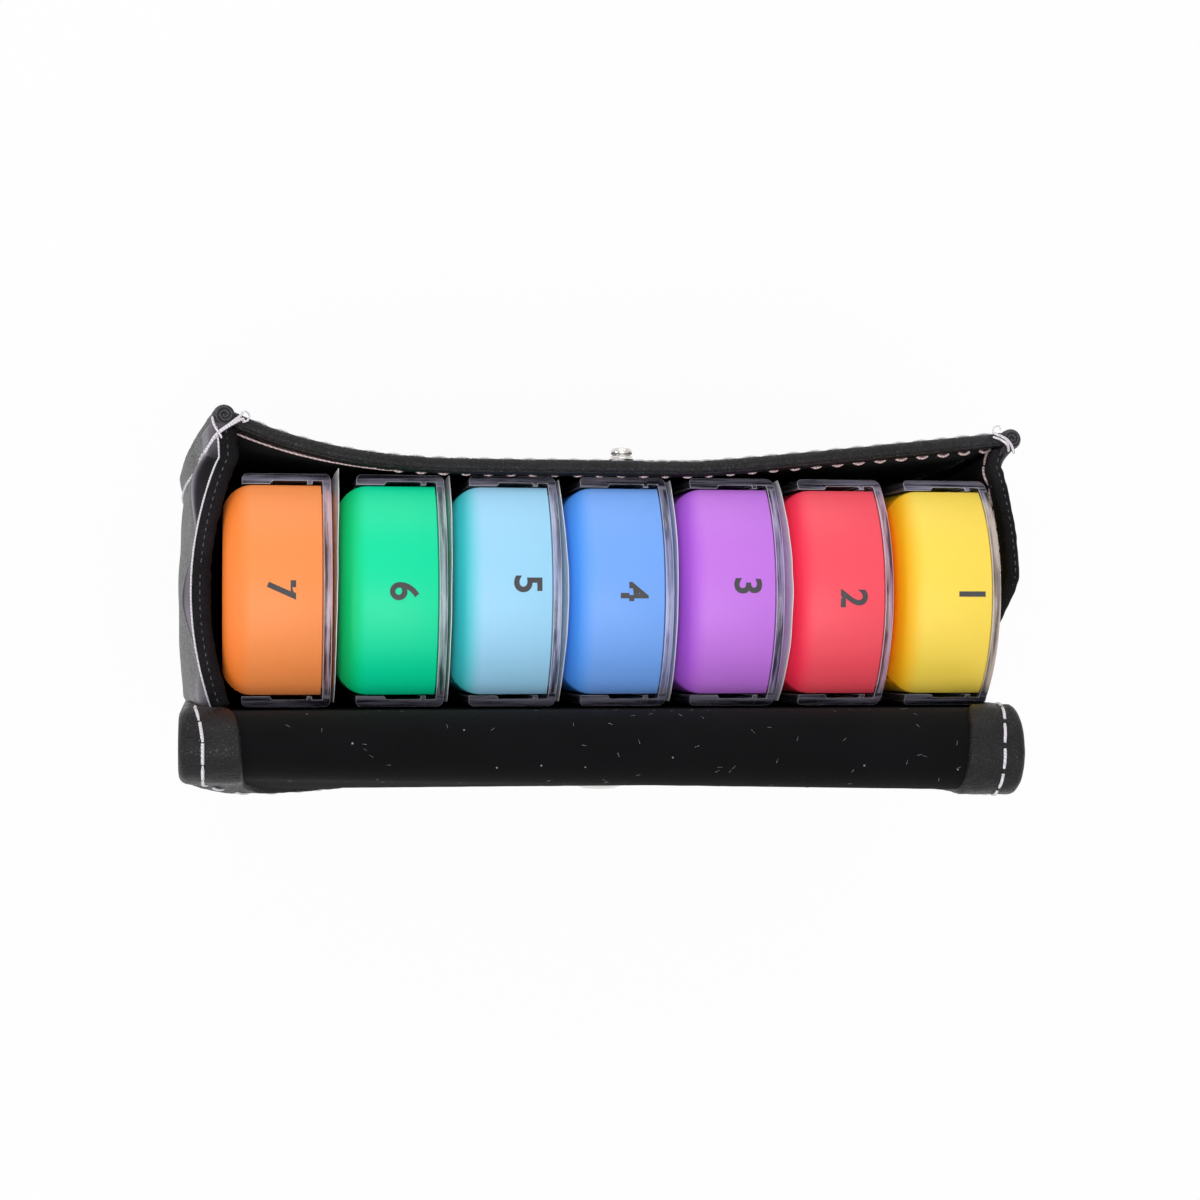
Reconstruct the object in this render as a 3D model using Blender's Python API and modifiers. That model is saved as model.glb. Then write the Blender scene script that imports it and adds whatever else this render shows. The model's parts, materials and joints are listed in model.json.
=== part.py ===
"""Weekly pill organiser: seven daily boxes standing in a soft pouch with a snap flap.

Metres, +Z up. The pouch stands on the XY plane with its mouth upwards, and the
origin lies in its base. The snap stud faces -Y. The flap is folded back over an
arch and hangs behind the pouch, towards +Y. Each daily box stands on one of its
bowed ends: the tray's floor faces +X, and the clear cover that slides along the
tray's rim faces -X. Box 1 is the one furthest towards -X.
"""

import math

import bmesh
import bpy
from mathutils import Vector

MM = 0.001

# Running and seating gaps
SLIDE_GAP = 0.3 * MM      # cover to tray
SEAT_GAP = 0.3 * MM       # pieces that lie on each other
CUT_OVERRUN = 2.0 * MM    # how far a cutter passes the face that it opens
MERGE = 0.01 * MM

# Daily boxes
BOX_COUNT = 7
BOX_GAP = 1.3 * MM
TRAY_LENGTH = 108.0 * MM
TRAY_WIDTH = 40.2 * MM
TRAY_DEPTH = 18.7 * MM
TRAY_WALL = 1.5 * MM
FLOOR_ROUND = 5.6 * MM
BOW_ANGLE = math.radians(53)   # from the bow's crown round to a cover's corner
BOW_STEPS = 8
ROUND_STEPS = 3
CELL_COUNT = 4
DIVIDER = 1.2 * MM
DIVIDER_DROP = 0.8 * MM   # dividers end below the rim
EAR_THICK = 1.3 * MM
EAR_REACH = 0.7 * MM

# Clear sliding covers
PLATE = 1.6 * MM
SKIRT = 1.5 * MM
SKIRT_DEPTH = 17.0 * MM
SKIRT_ROUND = 1.2 * MM
SKIRT_ROUND_STEPS = 2
RIB_THICK = 1.0 * MM      # holds the tray's ear against the plate
HOOK_LENGTH = 5.4 * MM
HOOK_CHAMFER = 0.5 * MM
FILM = 0.15 * MM
FILM_GAP = 0.2 * MM
FILM_INSET = 1.0 * MM
FILMED_BOXES = (3, 4, 5, 6, 7)

# Pouch walls
LEATHER = 1.2 * MM
LINING = 1.0 * MM
BASE = 1.4 * MM
BASE_ROUND = 4.0 * MM
FRONT_PLAY = 0.3 * MM     # covers to the lining, at the middle of the mouth
FOOT_PLAY = 3.8 * MM      # the same at the foot of the front
BACK_PLAY = 0.5 * MM
FOOT_SIDE_ROOM = 8.5 * MM
RIM_DROP = 6.2 * MM       # rim below the crown of the boxes
HEM_THICK = 3.0 * MM
HEM_HEIGHT = 5.5 * MM
WELT_RADIUS = 2.1 * MM
LEAN_POWER = 2.0          # how late the walls draw in on the way up
FRONT_COLUMNS = 16
SIDE_COLUMNS = 12
WALL_ROWS = 4
HEM_ROUND_STEPS = 4
WELT_STEPS = 8

# The mouth: the front flares out at its ends, and the sides bulge between pinches
LEFT_FLARE = 9.8 * MM
LEFT_FLARE_START = 20.0 * MM
LEFT_FLARE_POWER = 3.0
RIGHT_FLARE = 6.3 * MM
RIGHT_FLARE_START = 16.0 * MM
RIGHT_FLARE_POWER = 1.1
LEFT_CORNER = 0.2 * MM    # corners and pinches are measured beyond the row of boxes
RIGHT_CORNER = 5.1 * MM
LEFT_PINCH = -0.6 * MM
RIGHT_PINCH = 1.6 * MM
LEFT_BULGE = 5.2 * MM
RIGHT_BULGE = 4.0 * MM
PINCH_FRONT = 25.0 * MM   # how far in front of the boxes' middle the pinch lies
CORNER_POWER = 2.0
BULGE_POWER = 0.8

# Flap
ARCH_RADIUS = 7.6 * MM
ARCH_STRIPS = 4
ARCH_TURN = math.pi
LID_CLEARANCE = 0.8 * MM  # closed flap above the crown of the boxes
FLAP_INSET = 4.2 * MM     # flap narrower than the foot, at each end
FLAP_SHIFT = 2.3 * MM     # flap's middle, towards +X
FOLD_HALF = 57.0 * MM
TONGUE_HALF = 53.0 * MM
TONGUE_ROUND = 14.0 * MM
FOLD_PLAY = 0.5 * MM      # closed flap outside the rim
SNAP_TO_TIP = 12.0 * MM
TAPER_STEPS = 6

# Snap fastener
SNAP_X = -2.7 * MM
STUD_DROP = 10.6 * MM     # stud below the rim
STUD_SHORTEST = 2.4 * MM
STUD_HEAD = 2.1 * MM
STUD_NECK = 1.6 * MM
STUD_BAND = 1.1 * MM      # length of the head
STUD_DOME = 0.5 * MM
STUD_COLLAR = 1.9 * MM
STUD_FLANGE = 2.6 * MM
FLANGE_THICK = 0.5 * MM
POST = 1.3 * MM
POST_HOLE = 1.7 * MM
EYELET = 3.8 * MM
EYELET_THICK = 0.7 * MM
SOCKET = 5.0 * MM
SOCKET_HEIGHT = 2.3 * MM
SOCKET_BORE = 2.5 * MM
SOCKET_FLOOR = 0.5 * MM
SOCKET_LIP = 0.4 * MM
SNAP_CLEARANCE = 0.3 * MM # stud's tip to the socket's floor, flap closed
CAP = 6.2 * MM
CAP_THICK = 1.5 * MM
CAP_EDGE = 0.6 * MM
TURN_STEPS = 20
COLLAR_RISE_SHARE = 0.3   # of the flange's thickness, above it
SOCKET_SHOULDER_SHARE = 0.75
CAP_CROWN_SHARE = 0.93    # of the cap's thickness, half way out
CAP_SHOULDER_SHARE = 0.65

# Derived places: boxes
TRAY_HALF = TRAY_WIDTH / 2
COVER_HALF = TRAY_HALF + EAR_REACH + SLIDE_GAP + SKIRT
BOW_RADIUS = COVER_HALF / math.sin(BOW_ANGLE)
BOX_DEPTH = TRAY_DEPTH + SLIDE_GAP + PLATE
BOX_PITCH = BOX_DEPTH + BOX_GAP
ROW_HALF = BOX_COUNT * BOX_PITCH / 2
FLOOR_X = BOX_DEPTH / 2
RIM_X = FLOOR_X - TRAY_DEPTH
LID_X = -BOX_DEPTH / 2

# Derived places: pouch
WALL = LEATHER + SEAT_GAP + LINING
WALL_FOOT = BASE + SEAT_GAP
BOX_SEAT = WALL_FOOT + LINING + SEAT_GAP
CROWN_Z = BOX_SEAT + TRAY_LENGTH
RIM_Z = CROWN_Z - RIM_DROP
MOUTH_FRONT = COVER_HALF + FRONT_PLAY + WALL
FOOT_FRONT = COVER_HALF + FOOT_PLAY + WALL
FOOT_HALF = ROW_HALF + FOOT_SIDE_ROOM
BACK_INNER = COVER_HALF + BACK_PLAY
BACK_OUTER = BACK_INNER + WALL
HINGE_Z = CROWN_Z + LID_CLEARANCE
WELT_CLEAR = WELT_RADIUS + SEAT_GAP

# Derived places: flap and snap
FLAP_HALF = FOOT_HALF - FLAP_INSET
STRIP_BEND = ARCH_TURN / ARCH_STRIPS
STRIP_CHORD = 2 * ARCH_RADIUS * math.sin(STRIP_BEND / 2)
ARCH_REACH = ARCH_STRIPS * STRIP_CHORD
SNAP_STACK = 2 * SEAT_GAP + SOCKET_FLOOR + SNAP_CLEARANCE   # between closed flap and front, without the stud

LEATHER_BLACK = ("black_leather", (0.012, 0.012, 0.014), 0.42, 0.0, 1.0)
SUEDE_BLACK = ("black_suede", (0.006, 0.006, 0.007), 0.95, 0.0, 1.0)
NICKEL = ("nickel", (0.72, 0.70, 0.67), 0.22, 1.0, 1.0)
CLEAR = ("clear_plastic", (0.93, 0.95, 0.97), 0.08, 0.0, 0.3)
FILM_WHITE = ("thin_film", (0.95, 0.96, 0.98), 0.3, 0.0, 0.4)
TRAY_COLOURS = (
    ("yellow_plastic", (1.0, 0.66, 0.03), 0.38, 0.0, 1.0),
    ("red_plastic", (1.0, 0.045, 0.08), 0.38, 0.0, 1.0),
    ("purple_plastic", (0.50, 0.13, 0.76), 0.38, 0.0, 1.0),
    ("blue_plastic", (0.12, 0.37, 0.93), 0.38, 0.0, 1.0),
    ("sky_plastic", (0.30, 0.70, 0.90), 0.38, 0.0, 1.0),
    ("green_plastic", (0.0, 0.70, 0.30), 0.38, 0.0, 1.0),
    ("orange_plastic", (1.0, 0.24, 0.04), 0.38, 0.0, 1.0),
)


def clear_scene():
    """Remove whatever the file holds."""
    for obj in list(bpy.data.objects):
        bpy.data.objects.remove(obj, do_unlink=True)


def new_collection(name):
    """A collection linked to the scene."""
    collection = bpy.data.collections.new(name)
    bpy.context.scene.collection.children.link(collection)
    return collection


def finish(recipe):
    """The material of a recipe: name, colour, roughness, metallic and alpha."""
    name, colour, roughness, metallic, alpha = recipe
    material = bpy.data.materials.get(name)
    if material is None:
        material = bpy.data.materials.new(name)
        material.use_nodes = True
        shader = material.node_tree.nodes["Principled BSDF"]
        shader.inputs["Base Color"].default_value = (*colour, 1.0)
        shader.inputs["Roughness"].default_value = roughness
        shader.inputs["Metallic"].default_value = metallic
        shader.inputs["Alpha"].default_value = alpha
    return material


def mesh_from(bm, name):
    """Close a bmesh into a mesh with its faces pointing out."""
    bmesh.ops.recalc_face_normals(bm, faces=bm.faces)
    mesh = bpy.data.meshes.new(name)
    bm.to_mesh(mesh)
    bm.free()
    return mesh


def place(name, mesh, recipe, collection, location=(0, 0, 0), turn_x=0.0, parent=None):
    """Add an object with its own material to a collection."""
    obj = bpy.data.objects.new(name, mesh)
    obj.location = location
    obj.rotation_euler = (turn_x, 0, 0)
    obj.parent = parent
    if recipe:
        if not mesh.materials:
            mesh.materials.append(None)
        obj.material_slots[0].link = "OBJECT"
        obj.material_slots[0].material = finish(recipe)
    collection.objects.link(obj)
    return obj


def guide(name, mesh, collection, location=(0, 0, 0)):
    """A cutter or form that isn't part of the object."""
    obj = place(name, mesh, None, collection, location)
    obj.hide_render = True
    obj.display_type = "WIRE"
    return obj


def combine(obj, other, operation):
    """Join another closed mesh to this one, or cut it out."""
    modifier = obj.modifiers.new(other.name, "BOOLEAN")
    modifier.operation = operation
    modifier.solver = "EXACT"
    modifier.object = other


def shaped(obj, name):
    """The mesh of an object with its modifiers applied."""
    depsgraph = bpy.context.evaluated_depsgraph_get()
    mesh = bpy.data.meshes.new_from_object(obj.evaluated_get(depsgraph))
    mesh.name = name
    return mesh


def blend(low, high, share):
    """The value that lies a share of the way from low to high."""
    return low + (high - low) * share


def prism(outline, low, high, plane):
    """A bmesh of an outline in the YZ, XY or XZ plane, from low to high across it."""
    spots = {
        "YZ": lambda a, b: (low, a, b),
        "XY": lambda a, b: (a, b, low),
        "XZ": lambda a, b: (a, low, b),
    }
    across = {"YZ": Vector((1, 0, 0)), "XY": Vector((0, 0, 1)), "XZ": Vector((0, 1, 0))}
    bm = bmesh.new()
    face = bm.faces.new([bm.verts.new(spots[plane](a, b)) for a, b in outline])
    grown = bmesh.ops.extrude_face_region(bm, geom=[face])
    moved = [item for item in grown["geom"] if isinstance(item, bmesh.types.BMVert)]
    bmesh.ops.translate(bm, verts=moved, vec=across[plane] * (high - low))
    bmesh.ops.recalc_face_normals(bm, faces=bm.faces)
    return bm


def block(low, high):
    """A bmesh box between two corners."""
    bm = bmesh.new()
    bmesh.ops.create_cube(bm, size=1.0)
    for vert in bm.verts:
        vert.co = [blend(a, b, c + 0.5) for a, b, c in zip(low, high, vert.co)]
    return bm


def arc(centre, radius, start, end, steps):
    """Points along an arc, both ends included."""
    angles = [blend(start, end, step / steps) for step in range(steps + 1)]
    return [(centre[0] + radius * math.cos(a), centre[1] + radius * math.sin(a)) for a in angles]


def bow_drop(half_width, radius):
    """How far a bowed end falls back from its crown at this half width."""
    return radius - math.sqrt(radius ** 2 - half_width ** 2)


def bowed_outline(half_width, low, high, radius, bowed_low=True, bowed_high=True):
    """A box seen on its lid, as (y, z): straight sides and ends that are bowed or straight."""
    sweep = math.asin(half_width / radius)
    down = -math.pi / 2
    up = math.pi / 2
    if bowed_low:
        bottom = arc((0, low + radius), radius, down - sweep, down + sweep, BOW_STEPS)
    else:
        bottom = [(-half_width, low), (half_width, low)]
    if bowed_high:
        top = arc((0, high - radius), radius, up - sweep, up + sweep, BOW_STEPS)
    else:
        top = [(half_width, high), (-half_width, high)]
    return bottom + top


def round_floor(bm, floor_x, radius):
    """Round the edges round the face at floor_x."""
    edges = [
        edge for edge in bm.edges
        if all(abs(vert.co.x - floor_x) < MERGE for vert in edge.verts)
    ]
    bmesh.ops.bevel(
        bm, geom=edges, offset=radius, segments=ROUND_STEPS, profile=0.5, affect="EDGES"
    )


def tray_cells():
    """The compartments as one cutter: end cells follow the bowed ends."""
    inner_half = TRAY_HALF - TRAY_WALL
    inner_radius = BOW_RADIUS - TRAY_WALL
    floor_x = FLOOR_X - TRAY_WALL
    first = TRAY_WALL
    room = TRAY_LENGTH - 2 * TRAY_WALL - (CELL_COUNT - 1) * DIVIDER
    cell = room / CELL_COUNT
    joined = bmesh.new()
    for index in range(CELL_COUNT):
        low = first + index * (cell + DIVIDER)
        outline = bowed_outline(
            inner_half, low, low + cell, inner_radius,
            bowed_low=index == 0, bowed_high=index == CELL_COUNT - 1,
        )
        bm = prism(outline, RIM_X - CUT_OVERRUN, floor_x, "YZ")
        round_floor(bm, floor_x, FLOOR_ROUND - TRAY_WALL)
        piece = mesh_from(bm, "cell")
        joined.from_mesh(piece)
        bpy.data.meshes.remove(piece)
    return mesh_from(joined, "tray_cells")


def tray_mesh(cutters):
    """The moulded tray: rounded floor, bowed ends, ears along the rim and open cells."""
    outline = bowed_outline(TRAY_HALF, 0, TRAY_LENGTH, BOW_RADIUS)
    bm = prism(outline, RIM_X, FLOOR_X, "YZ")
    round_floor(bm, FLOOR_X, FLOOR_ROUND)
    form = guide("tray_form", mesh_from(bm, "tray_form"), cutters)
    corner = bow_drop(TRAY_HALF, BOW_RADIUS)
    ear_half = TRAY_HALF + EAR_REACH
    ears = block(
        (RIM_X, -ear_half, corner), (RIM_X + EAR_THICK, ear_half, TRAY_LENGTH - corner)
    )
    combine(form, guide("tray_ears", mesh_from(ears, "tray_ears"), cutters), "UNION")
    combine(form, guide("tray_cells", tray_cells(), cutters), "DIFFERENCE")
    inner_half = TRAY_HALF - TRAY_WALL
    inner_corner = TRAY_WALL + bow_drop(inner_half, BOW_RADIUS - TRAY_WALL)
    notch = block(
        (RIM_X - CUT_OVERRUN, -inner_half, inner_corner),
        (RIM_X + DIVIDER_DROP, inner_half, TRAY_LENGTH - inner_corner),
    )
    combine(form, guide("divider_tops", mesh_from(notch, "divider_tops"), cutters), "DIFFERENCE")
    return shaped(form, "tray")


def cover_section():
    """The clear cover cut across, as (x, y): plate, skirts, ribs under the ears and end hooks."""
    inner = COVER_HALF - SKIRT
    pad = TRAY_HALF + SLIDE_GAP
    plate_in = LID_X + PLATE
    rib_top = RIM_X + EAR_THICK + SLIDE_GAP
    rib_foot = rib_top + RIB_THICK
    free = LID_X + SKIRT_DEPTH
    hook_top = free - HOOK_LENGTH
    inside = [
        (plate_in, inner), (rib_top, inner), (rib_top, pad), (rib_foot, pad), (rib_foot, inner),
        (hook_top - HOOK_CHAMFER, inner), (hook_top, pad), (free, pad),
    ]
    outside = arc(
        (free - SKIRT_ROUND, COVER_HALF - SKIRT_ROUND), SKIRT_ROUND, 0, math.pi / 2,
        SKIRT_ROUND_STEPS,
    )
    outside += arc(
        (LID_X + SKIRT_ROUND, COVER_HALF - SKIRT_ROUND), SKIRT_ROUND, math.pi / 2, math.pi,
        SKIRT_ROUND_STEPS,
    )
    half = inside + outside
    return half + [(x, -y) for x, y in reversed(half)]


def cover_mesh(cutters):
    """The clear cover: one section along the tray, trimmed to the bowed ends."""
    body = guide(
        "cover_form", mesh_from(prism(cover_section(), 0, TRAY_LENGTH, "XY"), "cover_form"), cutters
    )
    outline = bowed_outline(COVER_HALF + CUT_OVERRUN, 0, TRAY_LENGTH, BOW_RADIUS)
    trim = prism(outline, -BOX_DEPTH, BOX_DEPTH, "YZ")
    combine(body, guide("cover_trim", mesh_from(trim, "cover_trim"), cutters), "INTERSECT")
    return shaped(body, "cover")


def film_mesh():
    """The thin sheet that clings to a cover's outer face."""
    half = COVER_HALF - FILM_INSET
    outline = bowed_outline(half, FILM_INSET, TRAY_LENGTH - FILM_INSET, BOW_RADIUS - FILM_INSET)
    outer = LID_X - FILM_GAP - FILM
    return mesh_from(prism(outline, outer, outer + FILM, "YZ"), "film")


def build_boxes(parts, cutters):
    """Seven trays with their covers; a cover is carried by its tray, and a film by its cover."""
    tray = tray_mesh(cutters)
    cover = cover_mesh(cutters)
    film = film_mesh()
    for index in range(BOX_COUNT):
        number = index + 1
        centre = (index - (BOX_COUNT - 1) / 2) * BOX_PITCH
        colour = TRAY_COLOURS[index % len(TRAY_COLOURS)]
        body = place(f"tray_{number}", tray.copy(), colour, parts, (centre, 0, BOX_SEAT))
        lid = place(f"cover_{number}", cover.copy(), CLEAR, parts, parent=body)
        if number in FILMED_BOXES:
            place(f"lid_film_{number}", film.copy(), FILM_WHITE, parts, parent=lid)


def lean(rise):
    """How far a wall has drawn in at this share of its height."""
    return rise ** LEAN_POWER


def flare(mouth_x):
    """How far the front of the mouth stands out at this place across it."""
    if mouth_x > 0:
        start, most, power = LEFT_FLARE_START, LEFT_FLARE, LEFT_FLARE_POWER
    else:
        start, most, power = RIGHT_FLARE_START, RIGHT_FLARE, RIGHT_FLARE_POWER
    reach = max(abs(mouth_x) - start, 0.0) / (ROW_HALF - start)
    return most * reach ** power


def corner(side):
    """How far from the middle the front corner of the mouth lies."""
    return ROW_HALF + (LEFT_CORNER if side > 0 else RIGHT_CORNER)


def pinch(side):
    """How far from the middle the side of the mouth lies where it is drawn in."""
    return ROW_HALF + (LEFT_PINCH if side > 0 else RIGHT_PINCH)


def welt_centre(side, rise):
    """The middle of the rolled seam at a front corner."""
    mouth_x = corner(side) - WALL / 2
    foot_x = FOOT_HALF - WALL / 2
    foot_y = FOOT_FRONT - WALL / 2
    mouth_y = MOUTH_FRONT + flare(side * mouth_x) - WALL / 2
    share = lean(rise)
    return side * blend(foot_x, mouth_x, share), -blend(foot_y, mouth_y, share)


def front_edges(rise):
    """Where the front's side edges lie, the one towards -X first."""
    return [welt_centre(side, rise)[0] - side * WELT_CLEAR for side in (-1, 1)]


def front_outer(across, rise):
    """The outer face of the front: across from its -X edge to its +X edge, rise up to the rim."""
    mouth_y = MOUTH_FRONT + flare(blend(*front_edges(1), across))
    y = -blend(FOOT_FRONT, mouth_y, lean(rise))
    return Vector((blend(*front_edges(rise), across), y, blend(WALL_FOOT, RIM_Z, rise)))


def wall_rise(height):
    """The share of a wall's rise at this height."""
    return (height - WALL_FOOT) / (RIM_Z - WALL_FOOT)


def side_lip(side, y):
    """Where the side's outer face crosses the mouth: in from its corner, then out in a bulge."""
    front = -PINCH_FRONT
    if y < front:
        share = (front - y) / (front - welt_centre(side, 1)[1])
        return blend(pinch(side), corner(side), share ** CORNER_POWER)
    share = min((y - front) / (BACK_OUTER - front), 1.0)
    bulge = LEFT_BULGE if side > 0 else RIGHT_BULGE
    return pinch(side) + bulge * math.sin(math.pi * share) ** BULGE_POWER


def side_outer(side, along, rise):
    """The outer face of a gusset: along from its front edge to its back edge."""
    mouth_y = blend(welt_centre(side, 1)[1] + WELT_CLEAR, BACK_INNER - SEAT_GAP, along)
    y = blend(welt_centre(side, rise)[1] + WELT_CLEAR, BACK_INNER - SEAT_GAP, along)
    x = side * blend(FOOT_HALF, side_lip(side, mouth_y), lean(rise))
    return Vector((x, y, blend(WALL_FOOT, RIM_Z, rise)))


def sheet(name, surface, columns, thick, recipe, parts):
    """A bent panel: a grid laid on surface(u, v) with its wall behind the grid's face."""
    bm = bmesh.new()
    bmesh.ops.create_grid(bm, x_segments=columns, y_segments=WALL_ROWS, size=1.0)
    for vert in bm.verts:
        vert.co = surface((vert.co.x + 1) / 2, (vert.co.y + 1) / 2)
    mesh = bpy.data.meshes.new(name)
    bm.to_mesh(mesh)
    bm.free()
    obj = place(name, mesh, recipe, parts)
    wall = obj.modifiers.new("Wall", "SOLIDIFY")
    wall.thickness = thick
    wall.offset = -1
    wall.use_even_offset = True
    return obj


def punch(name, radius, spot, cutters):
    """A round cutter through a wall, along Y."""
    bm = bmesh.new()
    bmesh.ops.create_cone(
        bm, cap_ends=True, segments=TURN_STEPS, radius1=radius, radius2=radius,
        depth=2 * (WALL + CUT_OVERRUN),
    )
    hole = guide(name, mesh_from(bm, name), cutters, spot)
    hole.rotation_euler = (math.pi / 2, 0, 0)
    return hole


def build_front(parts, cutters):
    """The front: leather outside, suede inside, a hem on its rim and the post's hole."""
    under_hem = wall_rise(RIM_Z - HEM_HEIGHT - SEAT_GAP)
    inward = Vector((0, LEATHER + SEAT_GAP, 0))

    def skin_face(u, v):
        return front_outer(u, v * under_hem)

    def suede_face(u, v):
        return skin_face(u, v) + inward

    skin = sheet("front_panel", skin_face, FRONT_COLUMNS, LEATHER, LEATHER_BLACK, parts)
    lining = sheet("front_lining", suede_face, FRONT_COLUMNS, LINING, SUEDE_BLACK, parts)
    seat = stud_seat()
    combine(skin, punch("stud_hole", POST_HOLE, seat, cutters), "DIFFERENCE")
    combine(lining, punch("eyelet_hole", EYELET + SEAT_GAP, seat, cutters), "DIFFERENCE")


def hem_mesh():
    """The rolled hem of the front rim: a soft-edged strip along the mouth's curve."""
    half = HEM_THICK / 2
    foot = RIM_Z - HEM_HEIGHT
    section = [(-half, foot + half / 2), (-half / 2, foot), (half / 2, foot), (half, foot + half / 2)]
    section += arc((0, RIM_Z - half), half, 0, math.pi, HEM_ROUND_STEPS)
    bm = bmesh.new()
    rings = []
    for step in range(FRONT_COLUMNS + 1):
        spot = front_outer(step / FRONT_COLUMNS, 1.0)
        middle = spot.y + WALL / 2
        rings.append([bm.verts.new((spot.x, middle + y, z)) for y, z in section])
    for near, far in zip(rings, rings[1:]):
        for index in range(len(section)):
            after = (index + 1) % len(section)
            bm.faces.new((near[index], near[after], far[after], far[index]))
    bm.faces.new(rings[0])
    bm.faces.new(rings[-1])
    return mesh_from(bm, "front_hem")


def build_welt(side, name, parts):
    """The rolled seam up a front corner."""
    curve = bpy.data.curves.new(name, "CURVE")
    curve.dimensions = "3D"
    curve.bevel_depth = WELT_RADIUS
    curve.bevel_resolution = 2
    curve.use_fill_caps = True
    spline = curve.splines.new("POLY")
    spline.points.add(WELT_STEPS)
    for step, point in enumerate(spline.points):
        rise = step / WELT_STEPS
        x, y = welt_centre(side, rise)
        point.co = (x, y, blend(WALL_FOOT + WELT_RADIUS, RIM_Z, rise), 1)
    curve.materials.append(finish(LEATHER_BLACK))
    welt = bpy.data.objects.new(name, curve)
    parts.objects.link(welt)


def build_side(side, name, parts):
    """A gusset: leather outside and suede inside, with its front edge at the rolled seam."""
    inward = Vector((-side * (LEATHER + SEAT_GAP), 0, 0))

    def skin(u, v):
        return side_outer(side, u if side > 0 else 1 - u, v)

    def suede(u, v):
        return skin(u, v) + inward

    sheet(f"{name}_gusset", skin, SIDE_COLUMNS, LEATHER, LEATHER_BLACK, parts)
    sheet(f"{name}_gusset_lining", suede, SIDE_COLUMNS, LINING, SUEDE_BLACK, parts)


def rounded_slab(name, low, high, radius, recipe, parts):
    """A flat plate with rounded upright corners."""
    bm = block(low, high)
    upright = [
        edge for edge in bm.edges
        if abs(edge.verts[0].co.z - edge.verts[1].co.z) > MERGE
    ]
    bmesh.ops.bevel(
        bm, geom=upright, offset=radius, segments=ROUND_STEPS, profile=0.5, affect="EDGES"
    )
    return place(name, mesh_from(bm, name), recipe, parts)


def back_outline(top):
    """The back as (x, z): from the foot's width to the flap's, up to this height."""
    share = (top - WALL_FOOT) / (HINGE_Z - WALL_FOOT)
    right = blend(-FOOT_HALF, FLAP_SHIFT - FLAP_HALF, share)
    left = blend(FOOT_HALF, FLAP_SHIFT + FLAP_HALF, share)
    return [(-FOOT_HALF, WALL_FOOT), (FOOT_HALF, WALL_FOOT), (left, top), (right, top)]


def build_pouch(parts, cutters):
    """Base, back, front and sides."""
    rounded_slab(
        "base_panel", (-FOOT_HALF, -FOOT_FRONT, 0), (FOOT_HALF, BACK_OUTER, BASE), BASE_ROUND,
        LEATHER_BLACK, parts,
    )
    inner_half = FOOT_HALF - WALL - SEAT_GAP
    inner_front = FOOT_FRONT - WALL - SEAT_GAP
    rounded_slab(
        "base_lining", (-inner_half, -inner_front, WALL_FOOT),
        (inner_half, BACK_INNER - SEAT_GAP, WALL_FOOT + LINING), BASE_ROUND, SUEDE_BLACK, parts,
    )
    top = HINGE_Z - SEAT_GAP
    back_skin = prism(
        back_outline(top - WALL * math.tan(STRIP_BEND / 4)), BACK_OUTER - LEATHER, BACK_OUTER, "XZ"
    )
    place("back_panel", mesh_from(back_skin, "back_panel"), LEATHER_BLACK, parts)
    back_suede = prism(back_outline(top), BACK_INNER, BACK_INNER + LINING, "XZ")
    place("back_lining", mesh_from(back_suede, "back_lining"), SUEDE_BLACK, parts)
    build_front(parts, cutters)
    place("front_hem", hem_mesh(), LEATHER_BLACK, parts)
    for side, name in ((1, "left"), (-1, "right")):
        build_side(side, name, parts)
        build_welt(side, f"{name}_corner_welt", parts)


def fold_y():
    """Where the closed flap turns down: in front of the rim's hem and of the snap."""
    bent_out = max(flare(FLAP_SHIFT + side * FOLD_HALF) for side in (-1, 1))
    hem_front = MOUTH_FRONT + (HEM_THICK - WALL) / 2 + bent_out
    snap_front = SNAP_STACK + STUD_SHORTEST - stud_seat().y
    return -max(hem_front + FOLD_PLAY, snap_front)


def fold_reach():
    """Length of the flap from its hinge to its fold."""
    return BACK_INNER - fold_y()


def flap_half(reach):
    """Half the flap's width at this distance from its hinge: it narrows past the arch."""
    share = min(max((reach - ARCH_REACH) / (fold_reach() - ARCH_REACH), 0.0), 1.0)
    ease = (1 - math.cos(math.pi * share)) / 2
    return blend(FLAP_HALF, FOLD_HALF, ease)


def strip_mesh(index, bend_before, bend_after):
    """One stiff strip of the arch, with its ends mitred on the leather side."""
    near = index * STRIP_CHORD
    trims = (WALL * math.tan(bend_before / 2), WALL * math.tan(bend_after / 2))
    bm = bmesh.new()
    bmesh.ops.create_cube(bm, size=1.0)
    for vert in bm.verts:
        leather = vert.co.y > 0
        end = vert.co.z > 0
        trim = SEAT_GAP / 2 + (trims[1 if end else 0] if leather else 0.0)
        z = STRIP_CHORD - trim if end else trim
        half = flap_half(near + (STRIP_CHORD if end else 0.0))
        vert.co = (half if vert.co.x > 0 else -half, WALL if leather else 0.0, z)
    return mesh_from(bm, "strip")


def build_arch(parts):
    """Strips of the bent part of the flap, each hinged on the one before it."""
    carrier = None
    for index in range(ARCH_STRIPS):
        bend = STRIP_BEND / 2 if index == 0 else STRIP_BEND
        after = STRIP_BEND / 2 if index == ARCH_STRIPS - 1 else STRIP_BEND
        spot = (FLAP_SHIFT, BACK_INNER, HINGE_Z) if index == 0 else (0, 0, STRIP_CHORD)
        carrier = place(
            f"flap_bend_{index + 1}", strip_mesh(index, bend, after), LEATHER_BLACK, parts,
            spot, -bend, carrier,
        )
    return carrier


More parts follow.
